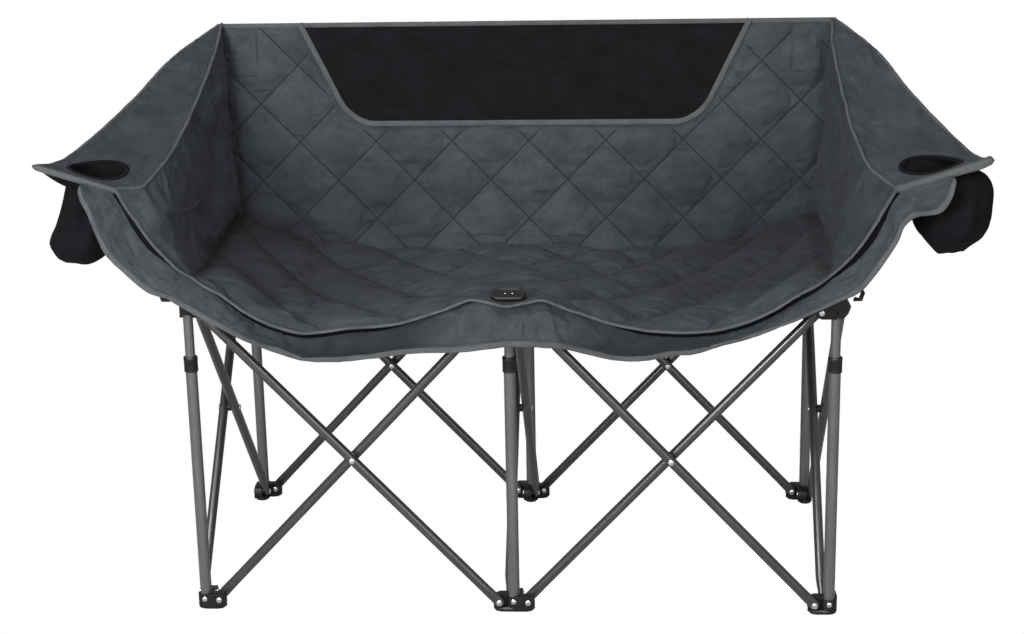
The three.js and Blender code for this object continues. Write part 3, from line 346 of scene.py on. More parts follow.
def arm_skirt_top(side, u):
    """Up just outside the side panel's front edge, then out under the wing's front edge."""
    beside, below = np.array([side * 2.5, 7.5, -1]), np.array([0, -1, -3.5])
    way = [skirt_top(np.array(float(side)))]
    way += [side_front(side, np.array(share)) + beside + [side * away, 0, -0.7 * away]
            for share, away in ARM_SLIT[side]]
    first = CORNER_SHARE[side] + 0.06
    shares = (first, (first + ARM_END[side]) / 2, ARM_END[side])
    way += [wing_place(side, np.array(0.0), np.array(share)) + below for share in shares]
    return curve_through(np.array(way), u)


def arm_skirt_bottom(side, u):
    start = skirt_bottom(np.array(float(side)))
    end = arm_skirt_top(side, np.array(1.0)) + np.array([side * 2, -17, -7])
    points_between = ARM_LOW[side]
    count = len(points_between) + 1
    way = [start] + [[side * x, start[1] + (end[1] - start[1]) * (i + 1) / count, z]
                     for i, (x, z) in enumerate(points_between)] + [end]
    return curve_through(np.array(way), u)


def bulged(top, bottom, v):
    """A hanging cloth between two edges, standing out where its lower edge does."""
    p = top * (1 - v)[..., None] + bottom * v[..., None]
    p[..., 1] += np.minimum(bottom[..., 1] - top[..., 1], 0) * 0.35 * 4 * v * (1 - v) * 0.5
    return p


# Meshes.
def grid(across, along):
    return np.meshgrid(np.linspace(0, 1, across + 1), np.linspace(0, 1, along + 1))


def read_rows(column, share):
    """Points of a column of a grid, read at shares of its length."""
    place = np.linspace(0, 1, len(column))
    return np.stack([np.interp(share, place, column[:, axis]) for axis in range(3)], -1)


def normals(p):
    du = np.gradient(p, axis=1)
    dv = np.gradient(p, axis=0)
    n = np.cross(du, dv)
    return n / np.maximum(np.linalg.norm(n, axis=-1, keepdims=True), 1e-9)


def facing(p, axis, sign):
    """Normals of a grid, turned so that on the whole they point along an axis."""
    n = normals(p)
    return n * (sign * np.sign(n[..., axis].mean()))


def arc_lay(p):
    """Cloth coordinates in metres: the length along the rows and down the columns."""
    along = np.linalg.norm(np.diff(p, axis=1), axis=-1)
    down = np.linalg.norm(np.diff(p, axis=0), axis=-1)
    x = np.pad(np.cumsum(along, axis=1), ((0, 0), (1, 0)))
    x -= x[:, x.shape[1] // 2][:, None]
    y = np.pad(np.cumsum(down, axis=0), ((1, 0), (0, 0)))
    return x * MM, y * MM


def make_mesh(name, vertices, faces, materials, face_slots=None, attributes=None, sharp=35.0):
    mesh = bpy.data.meshes.new(name)
    placed = np.asarray(vertices, float).reshape(-1, 3).copy()
    placed[:, 1] += FRAME_SHIFT
    mesh.from_pydata((placed * MM).tolist(), [], [list(map(int, f)) for f in faces])
    for material in materials:
        mesh.materials.append(material)
    if face_slots is not None:
        mesh.polygons.foreach_set("material_index", np.asarray(face_slots, np.int32))
    for key, values in (attributes or {}).items():
        values = np.asarray(values, np.float32)
        kind = "FLOAT_VECTOR" if values.ndim == 2 else "FLOAT"
        attribute = mesh.attributes.new(key, kind, "POINT")
        attribute.data.foreach_set("vector" if values.ndim == 2 else "value", values.ravel())
    mesh.polygons.foreach_set("use_smooth", np.ones(len(mesh.polygons), bool))
    built = bmesh.new()
    built.from_mesh(mesh)
    bmesh.ops.recalc_face_normals(built, faces=built.faces)
    built.to_mesh(mesh)
    built.free()
    mesh.set_sharp_from_angle(angle=math.radians(sharp))
    piece = bpy.data.objects.new(name, mesh)
    bpy.context.scene.collection.objects.link(piece)
    return piece


def shell(name, front, back, materials, keep=None, stitch=None, lay=None, quilting=None, shade=None):
    """A closed cloth body between two grids. keep says which cells are there, stitch how dark a
    hem's stitches are, quilting the coordinates and presence of the quilting lines, and shade how
    far painted shade darkens the cloth's colour."""
    rows, columns = front.shape[:2]
    count = rows * columns
    if keep is None:
        keep = np.ones((rows - 1, columns - 1), bool)
    index = np.arange(count).reshape(rows, columns)
    a, b = index[:-1, :-1][keep], index[:-1, 1:][keep]
    c, d = index[1:, 1:][keep], index[1:, :-1][keep]
    top = np.stack([a, b, c, d], -1)
    bottom = np.stack([d, c, b, a], -1) + count
    padded = np.pad(keep, 1)
    rim = []
    for dr, dc, first, second in ((-1, 0, (0, 0), (0, 1)), (1, 0, (1, 1), (1, 0)),
                                  (0, 1, (0, 1), (1, 1)), (0, -1, (1, 0), (0, 0))):
        beside = padded[1 + dr:rows + dr, 1 + dc:columns + dc]
        r, q = np.nonzero(keep & ~beside)
        e = index[r + first[0], q + first[1]]
        f = index[r + second[0], q + second[1]]
        rim.append(np.stack([f, e, e + count, f + count], -1))
    rim = np.concatenate(rim)
    faces = np.concatenate([top, bottom, rim])
    slots = np.concatenate([np.zeros(len(top)), np.full(len(bottom), min(1, len(materials) - 1)),
                            np.zeros(len(rim))])
    vertices = np.concatenate([front.reshape(-1, 3), back.reshape(-1, 3)])
    used = np.unique(faces)
    renumber = np.full(2 * count, -1)
    renumber[used] = np.arange(len(used))
    if lay is None:
        x, y = arc_lay(front)
        lay = np.stack([x, y, 0 * x], -1)
    lay = np.concatenate([lay.reshape(-1, 3), lay.reshape(-1, 3) + [0, 0, 0.5]])
    marks = np.zeros(2 * count)
    if stitch is not None:
        marks[:count] = stitch.ravel()
    # Painted shade: how far each point's cloth colour is darkened.
    painted_shade_values = np.zeros(2 * count)
    if shade is not None:
        painted_shade_values[:count] = shade.ravel()
    attributes = {"lay": lay[used], "stitch": marks[used], "shade": painted_shade_values[used]}
    if quilting is not None:
        for key, (first, second) in zip(("quilt", "families"), quilting):
            flat = np.zeros((2 * count, 3))
            flat[:count, 0], flat[:count, 1] = first.ravel(), second.ravel()
            attributes[key] = flat[used]
    return make_mesh(name, vertices[used], renumber[faces], materials, slots, attributes)


def ring_faces(rings, sides, closed=False):
    """Faces of a tube of rings, whose ends are joined where it is closed and else capped."""
    index = np.arange(rings * sides).reshape(rings, sides)
    rows = np.concatenate([index, index[:1]]) if closed else index
    nxt = np.roll(rows, -1, axis=1)
    faces = np.stack([rows[:-1], nxt[:-1], nxt[1:], rows[1:]], -1).reshape(-1, 4).tolist()
    if not closed:
        faces += [index[0][::-1].tolist(), index[-1].tolist()]
    return faces


def sweep(name, path, across, out, half_width, half_thick, material, closed=False, squareness=3.0,
          sides=12):
    """A strip or roll along a path: across and out are unit directions at each point."""
    path = np.asarray(path, float)
    angle = np.arange(sides) / sides * 2 * np.pi
    cosine, sine = np.cos(angle), np.sin(angle)
    power = 2 / squareness
    x = np.sign(cosine) * np.abs(cosine) ** power
    y = np.sign(sine) * np.abs(sine) ** power
    half_width = np.broadcast_to(half_width, len(path))[:, None, None]
    half_thick = np.broadcast_to(half_thick, len(path))[:, None, None]
    rings = (path[:, None] + across[:, None] * x[None, :, None] * half_width
             + out[:, None] * y[None, :, None] * half_thick)
    count = len(path)
    length = np.pad(np.cumsum(np.linalg.norm(np.diff(path, axis=0), axis=-1)), (1, 0)) * MM
    lay = np.stack([np.repeat(length, sides), np.tile(x, count) * half_width.max() * MM,
                    np.full(count * sides, 0.3)], -1)
    return make_mesh(name, rings, ring_faces(count, sides, closed), [material], None,
                     {"lay": lay, "stitch": np.zeros(count * sides)})


def unit(v):
    return v / np.maximum(np.linalg.norm(v, axis=-1, keepdims=True), 1e-9)


def edge_tape(name, p, n, line, inward, width, thick, material):
    """Binding folded over an edge of a grid: line picks the row or column, inward its neighbour."""
    edge, inner, out = p[line], p[inward], n[line]
    into = unit(inner - edge)
    out = unit(out - into * np.sum(into * out, -1, keepdims=True))
    along = np.arange(len(edge))
    waver = 0.5 * noise(along / 5.0, 0 * along + len(name), 7) + 0.3 * noise(along / 2.0, 0 * along, 8)
    centre = edge + into * (width / 2 - 1.2) + out * waver[:, None]
    return sweep(name, centre, into, out, width / 2 * (1 + 0.12 * waver), thick / 2, material)


# Materials.
def node_material(name):
    material = bpy.data.materials.new(name)
    material.use_nodes = True
    tree = material.node_tree
    shader = tree.nodes["Principled BSDF"]
    return material, tree, shader


def stored(tree, name, output):
    """Reads an attribute of the mesh."""
    node = tree.nodes.new("ShaderNodeAttribute")
    node.attribute_name = name
    return node.outputs[output]


def stretched(tree, source, scale):
    mapping = tree.nodes.new("ShaderNodeMapping")
    mapping.inputs["Scale"].default_value = scale
    tree.links.new(source, mapping.inputs["Vector"])
    return mapping.outputs["Vector"]


def noise_node(tree, vector, scale, detail=2.0, rough=0.5):
    node = tree.nodes.new("ShaderNodeTexNoise")
    node.inputs["Scale"].default_value = scale
    node.inputs["Detail"].default_value = detail
    node.inputs["Roughness"].default_value = rough
    tree.links.new(vector, node.inputs["Vector"])
    return node.outputs["Fac"]


def ramp(tree, fac, low, high, to_low=0.0, to_high=1.0):
    node = tree.nodes.new("ShaderNodeMapRange")
    for key, value in (("From Min", low), ("From Max", high), ("To Min", to_low),
                       ("To Max", to_high)):
        node.inputs[key].default_value = value
    tree.links.new(fac, node.inputs["Value"])
    return node.outputs["Result"]


def math_node(tree, operation, a, b):
    node = tree.nodes.new("ShaderNodeMath")
    node.operation = operation
    for socket, value in zip(node.inputs, (a, b)):
        if isinstance(value, (int, float)):
            socket.default_value = value
        else:
            tree.links.new(value, socket)
    return node.outputs["Value"]


def mix(tree, fac, a, b):
    node = tree.nodes.new("ShaderNodeMix")
    node.data_type = "RGBA"
    for socket, value in ((node.inputs[0], fac), (node.inputs[6], a), (node.inputs[7], b)):
        if isinstance(value, (int, float)):
            socket.default_value = value
        elif isinstance(value, tuple):
            socket.default_value = (*value, 1.0)
        else:
            tree.links.new(value, socket)
    return node.outputs[2]


def bump(tree, height, strength, distance, before=None):
    node = tree.nodes.new("ShaderNodeBump")
    node.inputs["Strength"].default_value = strength
    node.inputs["Distance"].default_value = distance
    tree.links.new(height, node.inputs["Height"])
    if before is not None:
        tree.links.new(before, node.inputs["Normal"])
    return node.outputs["Normal"]


def quilt_lines(tree):
    """1 on a quilting stitch line. Each line lies where its family's coordinate is a whole number."""
    place = stored(tree, "quilt", "Vector")
    families = stored(tree, "families", "Vector")
    there = tree.nodes.new("ShaderNodeSeparateXYZ")
    tree.links.new(families, there.inputs[0])
    where = tree.nodes.new("ShaderNodeSeparateXYZ")
    tree.links.new(place, where.inputs[0])
    lines = []
    for axis in (0, 1):
        part = math_node(tree, "FRACT", math_node(tree, "ADD", where.outputs[axis], 0.5), 0.0)
        away = math_node(tree, "ABSOLUTE", math_node(tree, "SUBTRACT", part, 0.5), 0.0)
        line = ramp(tree, away, 0.021, 0.009)
        lines.append(math_node(tree, "MULTIPLY", line, there.outputs[axis]))
    return math_node(tree, "MAXIMUM", lines[0], lines[1])


def cloth_material(name, base, light, dark, streak=1.0, roughness=0.9, sheen=0.03, crumpled=0.007,
                   gloss=0.09):
    """Woven polyester: plain weave threads, slubby streaks both ways, small creases as deep as crumpled,
    in metres, dark stitch lines, and painted shade where the mesh's shade attribute is set."""
    material, tree, shader = node_material(name)
    lay = stored(tree, "lay", "Vector")
    hem = stored(tree, "stitch", "Fac")
    stitch = math_node(tree, "MAXIMUM", hem, quilt_lines(tree))
    weft = noise_node(tree, stretched(tree, lay, (90, 1100, 30)), 1.0, 3.0, 0.6)
    warp = noise_node(tree, stretched(tree, lay, (1100, 90, 30)), 1.0, 3.0, 0.6)
    blotch = noise_node(tree, stretched(tree, lay, (9, 12, 9)), 1.0, 2.0)
    cloud = noise_node(tree, stretched(tree, lay, (22, 34, 20)), 1.0, 4.0, 0.6)
    slubs = math_node(tree, "ADD", math_node(tree, "MULTIPLY", weft, 0.6),
                      math_node(tree, "MULTIPLY", warp, 0.4))
    toned = mix(tree, ramp(tree, slubs, 0.38, 0.66, 0.0, streak), base, light)
    toned = mix(tree, ramp(tree, slubs, 0.5, 0.3, 0.0, 0.7 * streak), toned, dark)
    toned = mix(tree, ramp(tree, blotch, 0.55, 0.25, 0.0, 0.55), toned, dark)
    toned = mix(tree, ramp(tree, cloud, 0.5, 0.72, 0.0, 0.75), toned, light)
    toned = mix(tree, ramp(tree, cloud, 0.48, 0.3, 0.0, 0.65), toned, dark)
    # Painted shade: where the mesh's shade attribute is set, the colour is darkened towards a deep tone of
    # the dark colour.
    shade = stored(tree, "shade", "Fac")
    toned = mix(tree, shade, toned, tuple(c * 0.35 for c in dark))
    toned = mix(tree, math_node(tree, "MULTIPLY", stitch, 0.75), toned, tuple(c * 0.45 for c in dark))
    tree.links.new(toned, shader.inputs["Base Color"])
    threads = []
    for direction in ("X", "Y"):
        wave = tree.nodes.new("ShaderNodeTexWave")
        wave.bands_direction = direction
        wave.inputs["Scale"].default_value = 210.0
        wave.inputs["Distortion"].default_value = 1.2
        wave.inputs["Detail"].default_value = 1.0
        tree.links.new(lay, wave.inputs["Vector"])
        threads.append(wave.outputs["Fac"])
    weave = math_node(tree, "MULTIPLY", threads[0], threads[1])
    crumple = noise_node(tree, stretched(tree, lay, (13, 34, 13)), 1.0, 3.0, 0.5)
    fine = bump(tree, weave, 0.25, 0.0004, bump(tree, crumple, 0.5, crumpled))
    tree.links.new(bump(tree, slubs, 0.35, 0.0008, fine), shader.inputs["Normal"])
    tree.links.new(ramp(tree, slubs, 0.3, 0.7, roughness + 0.06, roughness - 0.08),
                   shader.inputs["Roughness"])
    shader.inputs["Sheen Weight"].default_value = sheen
    shader.inputs["Sheen Roughness"].default_value = 0.4
    shader.inputs["Specular IOR Level"].default_value = gloss
    return material


def coated_metal(name, base, wear_and_painted_shade, metallic, roughness):
    """Powder-coated or polished steel with fine lines drawn along it, faint scuffs and mottling."""
    material, tree, shader = node_material(name)
    place = tree.nodes.new("ShaderNodeTexCoord").outputs["Object"]
    lay = stored(tree, "lay", "Vector")
    mottle = noise_node(tree, place, 30.0, 3.0)
    scuff = noise_node(tree, stretched(tree, lay, (7, 200, 1)), 1.0, 2.0, 0.6)
    grain = noise_node(tree, place, 500.0, 2.0)
    toned = mix(tree, ramp(tree, mottle, 0.3, 0.75, 0.0, 0.5), base, tuple(c * 0.82 for c in base))
    toned = mix(tree, ramp(tree, scuff, 0.55, 0.8, 0.0, 0.5), toned, wear_and_painted_shade)
    tree.links.new(toned, shader.inputs["Base Color"])
    tree.links.new(ramp(tree, scuff, 0.3, 0.8, roughness - 0.03, roughness + 0.06),
                   shader.inputs["Roughness"])
    tree.links.new(bump(tree, grain, 0.015, 0.0001), shader.inputs["Normal"])
    shader.inputs["Metallic"].default_value = metallic
    shader.inputs["Specular IOR Level"].default_value = 0.6
    return material


def moulded_plastic(name, base, roughness):
    """Moulded plastic with a fine grain and slightly polished patches."""
    material, tree, shader = node_material(name)
    place = tree.nodes.new("ShaderNodeTexCoord").outputs["Object"]
    grain = noise_node(tree, place, 900.0, 3.0, 0.6)
    patch = noise_node(tree, place, 35.0, 2.0)
    toned = mix(tree, ramp(tree, patch, 0.35, 0.7, 0.0, 0.6), base, tuple(c * 1.5 for c in base))
    tree.links.new(toned, shader.inputs["Base Color"])
    tree.links.new(ramp(tree, patch, 0.3, 0.7, roughness + 0.08, roughness - 0.1),
                   shader.inputs["Roughness"])
    tree.links.new(bump(tree, grain, 0.2, 0.0003), shader.inputs["Normal"])
    shader.inputs["Specular IOR Level"].default_value = 0.22
    return material


GREY_CLOTH = cloth_material("grey_woven_cloth", (0.050, 0.0565, 0.065), (0.078, 0.086, 0.096),
                            (0.033, 0.037, 0.043), 0.8)
PLAIN_CLOTH = cloth_material("plain_grey_cloth", (0.050, 0.0565, 0.065), (0.074, 0.082, 0.092),
                             (0.034, 0.038, 0.044), 0.7)
BINDING = cloth_material("binding_tape", (0.083, 0.088, 0.092), (0.12, 0.126, 0.13),
                         (0.054, 0.058, 0.061), 0.9, 0.85, crumpled=0.001)
BLACK_CLOTH = cloth_material("black_woven_cloth", (0.0074, 0.0076, 0.0095), (0.0118, 0.0122, 0.0146),
                             (0.005, 0.0051, 0.0061), 0.6, 0.9, 0.01, 0.003, 0.04)
UPRIGHT = coated_metal("satin_grey_steel", (0.135, 0.135, 0.133), (0.19, 0.19, 0.187), 0.45, 0.33)
BAR = coated_metal("dark_grey_steel", (0.078, 0.078, 0.078), (0.11, 0.11, 0.11), 0.6, 0.23)
BLACK_PLASTIC = moulded_plastic("black_moulded_plastic", (0.0085, 0.009, 0.0095), 0.45)
RIVET = coated_metal("bright_rivet_steel", (0.62, 0.62, 0.6), (0.8, 0.8, 0.78), 1.0, 0.28)


# Padded seat and back: the quilting's size and place, and how its stitches hold the cloth.
DIAGONAL = 139.5
QUILT_X = 8
BACK_QUILT_Z = 212
SEAT_QUILT_STRETCH = 0.8
HELD_SHARE = 0.085
QUILT_PRESSURE, QUILT_SLACK, QUILT_REACH = 4.0, 0.03, 12.0


def quilt(x, y, left=1.0, right=1.0):
    """Rise of a quilted pad from 0 on a seam to 1, the coordinates of both seam families, and where
    their stitches hold the cloth down."""
    u, w = x / DIAGONAL, y / DIAGONAL
    rising, falling = np.abs(np.sin(np.pi * (u + w))), np.abs(np.sin(np.pi * (u - w)))
    rise = (1 - left * (1 - rising ** 0.45)) * (1 - right * (1 - falling ** 0.45))
    held = ((rising < HELD_SHARE) & (left > 0.5)) | ((falling < HELD_SHARE) & (right > 0.5))
    return rise, (u + w, u - w), held


def puckers(x, y, seed, size=1.0):
    """Small pulled creases of quilted cloth, mostly level."""
    a = creases(x / (95 * size), y / (26 * size), seed)
    b = creases((x + 0.6 * y) / (70 * size), (y - 0.4 * x) / (34 * size), seed + 1)
    c = noise(x / (30 * size), y / (18 * size), seed + 2)
    return 1.7 * a + 1.0 * b + 0.35 * c


def offset(p, n, distance):
    return p + n * np.asarray(distance)[..., None]


def swollen(front, n, held, pressure, slack, reach, sink=99.0):
    """The outer cloth of a pad after a cloth simulation: it swells outwards between the rows of
    stitches that hold it, and its slack gathers into wrinkles. No point moves past reach, or
    further than sink against its normal."""
    frames = 16
    rows, columns = front.shape[:2]
    index = np.arange(rows * columns).reshape(rows, columns)
    faces = np.stack([index[:-1, :-1], index[:-1, 1:], index[1:, 1:], index[1:, :-1]], -1)
    du, dv = front[0, 1] - front[0, 0], front[1, 0] - front[0, 0]
    if np.dot(np.cross(du, dv), n[0, 0]) < 0:
        faces = faces[..., ::-1]
    mesh = bpy.data.meshes.new("swelling_cloth")
    mesh.from_pydata((front.reshape(-1, 3) * MM).tolist(), [], faces.reshape(-1, 4).tolist())
    piece = bpy.data.objects.new("swelling_cloth", mesh)
    bpy.context.scene.collection.objects.link(piece)
    group = piece.vertex_groups.new(name="held")
    group.add(np.flatnonzero(held).tolist(), 1.0, "REPLACE")
    cloth = piece.modifiers.new("cloth", "CLOTH")
    cloth.settings.quality = 4
    cloth.settings.mass = 0.25
    cloth.settings.tension_stiffness = 18.0
    cloth.settings.compression_stiffness = 12.0
    cloth.settings.shear_stiffness = 5.0
    cloth.settings.bending_stiffness = 0.12
    cloth.settings.air_damping = 2.0
    cloth.settings.effector_weights.gravity = 0.0
    cloth.settings.use_pressure = True
    cloth.settings.uniform_pressure_force = pressure
    cloth.settings.shrink_min = -slack
    cloth.settings.vertex_group_mass = "held"
    cloth.collision_settings.use_collision = False
    cloth.point_cache.frame_start = 1
    cloth.point_cache.frame_end = frames
    for step in range(1, frames + 1):
        bpy.context.scene.frame_set(step)
    shaped = piece.evaluated_get(bpy.context.evaluated_depsgraph_get()).data
    moved = np.empty(rows * columns * 3, np.float32)
    shaped.vertices.foreach_get("co", moved)
    move = moved.reshape(rows, columns, 3).astype(float) / MM - front
    bpy.data.objects.remove(piece)
    bpy.context.scene.frame_set(1)
    size = np.linalg.norm(move, axis=-1, keepdims=True)
    move *= np.minimum(1.0, reach / np.maximum(size, 1e-6))
    outwards = np.sum(move * n, -1)
    return front + move + n * np.maximum(-outwards - sink, 0)[..., None]


def stitches(distance, place, strength, half_width=2.2):
    """A row of stitches at one distance from an edge."""
    return np.clip(1 - np.abs(distance - place) / half_width, 0, 1) * strength


def cell_corners(mask):
    """What a mask of points says at the four corners of each cell."""
    return np.stack([mask[:-1, :-1], mask[1:, :-1], mask[:-1, 1:], mask[1:, 1:]])


def corner_shade(x, height):
    """Painted shade: darkening of the cloth's colour in the deep corners between seat, back and arms."""
    return 0.5 * smooth((np.abs(x) - 270) / 150) * np.exp(-((height - 520) / 62) ** 2)


def make_back():
    u, v = grid(300, 104)
    s = 2 * u - 1
    p = back_place(s, v)
    n = facing(p, 1, -1)
    x, height = p[..., 0], BACK_TOP - p[..., 2]
    rise, lines, sewn = quilt(x - QUILT_X, height - BACK_QUILT_Z)
    margin = fade(u, 0.03) * smooth((1 - v) / 0.06) * (0.6 + 0.4 * smooth(v / 0.06))
    pad = SEAM + margin * (1.5 + 7.5 * rise + puckers(x, height, 11))
    # Border of the black panel: a trapezoid with round lower corners.
    low_half, top_half, low_z, corner = 316.0, 406.0, 732.0, 42.0
    z = p[..., 2]
    slope = (top_half - low_half) / (BACK_TOP - low_z)
    half = low_half + slope * (z - low_z)
    near_low = np.clip((low_z + corner - z) / corner, 0, 1)
    half = half - corner * (1 - np.sqrt(np.clip(1 - near_low ** 2, 0, 1)))
    inside = (np.abs(x) < half) & (z > low_z)
    gone = cell_corners(inside).all(0)
    way = []
    for t in np.linspace(0, 1, 15):
        way.append((low_half + slope * corner + (top_half - low_half - slope * corner) * (1 - t),
                    BACK_TOP + 2 + (low_z + corner - BACK_TOP - 2) * t))
    for a in np.linspace(0, np.pi / 2, 12)[1:]:
        base = low_half + slope * corner
        way.append((base - corner * (1 - math.cos(a)) - slope * corner * math.sin(a),
                    low_z + corner * (1 - math.sin(a))))
    lower = way[-1][0]
    for t in np.linspace(0, 1, 40)[1:]:
        way.append((lower * (1 - t), low_z))
    way = np.array(way)
    way = np.concatenate([way, (way * [-1, 1])[::-1][1:]])
    foot_z = CREASE_Z - 8
    vv = np.clip((way[:, 1] - foot_z) / (BACK_TOP - foot_z), 0, 1.0)
    for _ in range(4):
        q = back_place(way[:, 0] / BACK_HALF, vv)
        vv = np.clip(vv + (way[:, 1] - q[:, 2]) / 400, 0, 1.004)
    ss = way[:, 0] / (CREASE_HALF + BACK_WIDENS * vv + BACK_BOW)
    border = back_place(ss, vv)
    tangent = unit(np.gradient(border, axis=0))
    out = np.tile([0, -0.985, 0.17], (len(border), 1))
    across = unit(np.cross(tangent, out))
    front_edge = border + out * 4.5
    edge_gap = np.min(np.hypot(x[..., None] - way[:, 0], z[..., None] - way[:, 1]), -1)
    pad = pad * smooth((edge_gap - 3) / 16) + 2.5 * (1 - smooth((edge_gap - 3) / 16))
    seam = stitches(edge_gap, 9, 0.5, 2.0) * ~inside
    outside = smooth((edge_gap - 10) / 4) * ~inside
    for side, low_x, high_x in ((-1, -535, -483), (1, 478, 530)):
        within = np.maximum(np.maximum(low_x - x, x - high_x), np.maximum(822 - z, z - 906))
        outside = outside * (within > 1)
        seam = np.maximum(seam, stitches(within, 0, 0.8))
    rear = offset(p, n, -SEAM - 1.2 * noise(x / 60, z / 40, 5) * margin)
    held = sewn | (margin < 0.1) | inside | (edge_gap < 12)
    front = swollen(offset(p, n, pad), n, held, QUILT_PRESSURE, QUILT_SLACK, QUILT_REACH, pad - 1)
    # Painted shade: the cloth's colour is darkened low on the back towards its sides, and more in the deep
    # corners by the seat.
    wear_and_painted_shade = 0.36 * smooth((370 - np.abs(p[..., 2] - 400)) / 170) * smooth((np.abs(p[..., 0]) - 60) / 200)
    wear_and_painted_shade = np.maximum(wear_and_painted_shade, wear_and_painted_shade * 0.6 + corner_shade(p[..., 0], p[..., 2]))
    cloth = shell("back_quilt", front, rear, [GREY_CLOTH, BLACK_CLOTH], ~gone, seam, None,
                  (lines, (outside, outside)), wear_and_painted_shade)
    binding = sweep("back_panel_binding", front_edge, across, out, 5.2, 2.6, BINDING)
    u, v = grid(150, 50)
    s = (2 * u - 1) * 0.755
    v = 0.5 + 0.497 * v
    q = back_place(s, v)
    m = facing(q, 1, -1)
    x, z = q[..., 0], q[..., 2]
    keep = (low_half + slope * (z - low_z) + 4 - np.abs(x) > 0) & (z > low_z - 4)
    keep = cell_corners(keep).any(0)
    ripple = 1.6 * noise(x / 120, z / 70, 21) + 0.9 * creases(x / 150, z / 60, 22)
    panel = shell("back_black_sheet", offset(q, m, 0.6 + ripple), offset(q, m, -0.6 + ripple),
                  [BLACK_CLOTH], keep)
    top = back_place(np.linspace(-1, 1, 160), np.full(160, 1.0))
    top[:, 2] -= 1.5
    tangent = unit(np.gradient(top, axis=0))
    rail = sweep("back_top_binding", top, np.tile([0, 0.17, 0.985], (160, 1)),
                 np.tile([0, -0.985, 0.17], (160, 1)), 4.4, 3.6, BINDING)
    return cloth, binding, panel, rail


def make_seat():
    u, v = grid(300, 148)
    s = 2 * u - 1
    p = seat_place(s, v)
    n = facing(p, 2, 1)
    x, depth = p[..., 0], CREASE_Y - p[..., 1]
    left = smooth((x + 200) / 60)
    right = smooth((250 - x) / 60)
    rise, lines, sewn = quilt(x - QUILT_X, depth * SEAT_QUILT_STRETCH, left, right)
    cap = smooth((np.hypot(x, p[..., 1] - FRONT_Y) - 44) / 40)
    margin = fade(u, 0.03) * smooth(v / 0.06) * (0.5 + 0.5 * smooth((1 - v) / 0.03)) * cap
    deeper = 1 + 0.6 * smooth((np.abs(x) - 150) / 200)
    pad = SEAM + margin * (1.5 + 6.5 * rise * deeper + puckers(x, depth, 31, 1.2) * deeper)
    rear = offset(p, n, -SEAM)
    hem = stitches(v * SEAT_DEPTH, 11, 0.4)
    held = sewn | (margin < 0.1)
    held[-1] = True
    top = swollen(offset(p, n, pad), n, held, QUILT_PRESSURE, QUILT_SLACK, QUILT_REACH, pad - 1)
    lay_x, lay_y = arc_lay(top)
    lay = np.stack([lay_x, lay_y, 0 * lay_x], -1)
    shown = smooth(v / 0.04) * cap
    # Painted shade: the cloth's colour is darkened towards the seat's sides, away from its front edge, and
    # more in the deep corners at its rear.
    wear_and_painted_shade = 0.48 * smooth((np.abs(x) - 110) / 190) * smooth((v - 0.12) / 0.3)
    wear_and_painted_shade = np.maximum(wear_and_painted_shade, wear_and_painted_shade * 0.6 + corner_shade(x, 520 + (1 - v) * 260))
    halves = {}
    for half, rows in (("front", slice(0, 75)), ("rear", slice(74, 149))):
        halves[half] = shell("seat_" + half + "_quilt", top[rows], rear[rows],
                             [GREY_CLOTH, BLACK_CLOTH], None, hem[rows], lay[rows],
                             ([line[rows] for line in lines],
                              [(left * shown)[rows], (right * shown)[rows]]), wear_and_painted_shade[rows])
    tape = edge_tape("seat_front_binding", offset(p, n, pad / 2), n, 0, 3, 6, 4.6, BINDING)
    return halves, tape


# Painted shade: how far each side panel's cloth colour is darkened; only the right one is.
SIDE_SHADE = {-1: 0.0, 1: 0.34}


def make_side(side):
    word = WORDS[side]
    u, v = grid(130, 84)
    p = side_place(side, u, v)
    n = facing(p, 0, -side)
    reach, height = p[..., 1], p[..., 2]
    margin = fade(u, 0.12) * fade(v, 0.12)
    soft = margin ** 0.5
    fold = (3.5 * creases(reach / 130 + height / 420, height / 260, 41 + side)
            + 2.2 * creases(reach / 80 - height / 300, height / 190, 44 + side)
            + 0.7 * noise(reach / 35, height / 30, 47 + side))
    swell = 13 * np.exp(-((reach - REAR_Y + 105) / 80) ** 2 - ((height - 600) / 75) ** 2)
    pad = SEAM + 2.6 * soft + soft * (fold + swell)
    rear = offset(p, n, -SEAM)
    front = swollen(offset(p, n, pad), n, margin < 0.04, 0.6, 0.02, 10.0, pad - SEAM)
    hem = stitches(u * BAY, 12, 0.35)
    # Painted shade: the cloth's colour is darkened by SIDE_SHADE, a little more towards the top.
    wear_and_painted_shade = SIDE_SHADE[side] * (0.8 + 0.2 * v)
    cloth = shell(word + "_side_cloth", front, rear, [PLAIN_CLOTH, BLACK_CLOTH], None, hem,
                  shade=wear_and_painted_shade)
    tape = edge_tape(word + "_side_binding", offset(p, n, 0.8 + 0 * pad).transpose(1, 0, 2),
                     n.transpose(1, 0, 2), 0, 3, 6.5, 4.4, BINDING)
    return cloth, tape


CUP_X, CUP_Y, CUP_RADIUS = 668.0, FRONT_Y + 66, 45.0
# Painted shade: how far each wing's cloth colour is darkened; only the left one is.
WING_SHADE = {-1: 0.26, 1: 0.0}
# Rolled edge of each shelf: its radius, how far it swells and how far its outer end curls up.
SHELF_ROLL = {-1: 5.2, 1: 6.2}
SHELF_SWELL = {-1: 0.0, 1: 1.2}
SHELF_CURL = {-1: 1.0, 1: 3.0}
SHELF_HANG = {-1: 21, 1: 10}


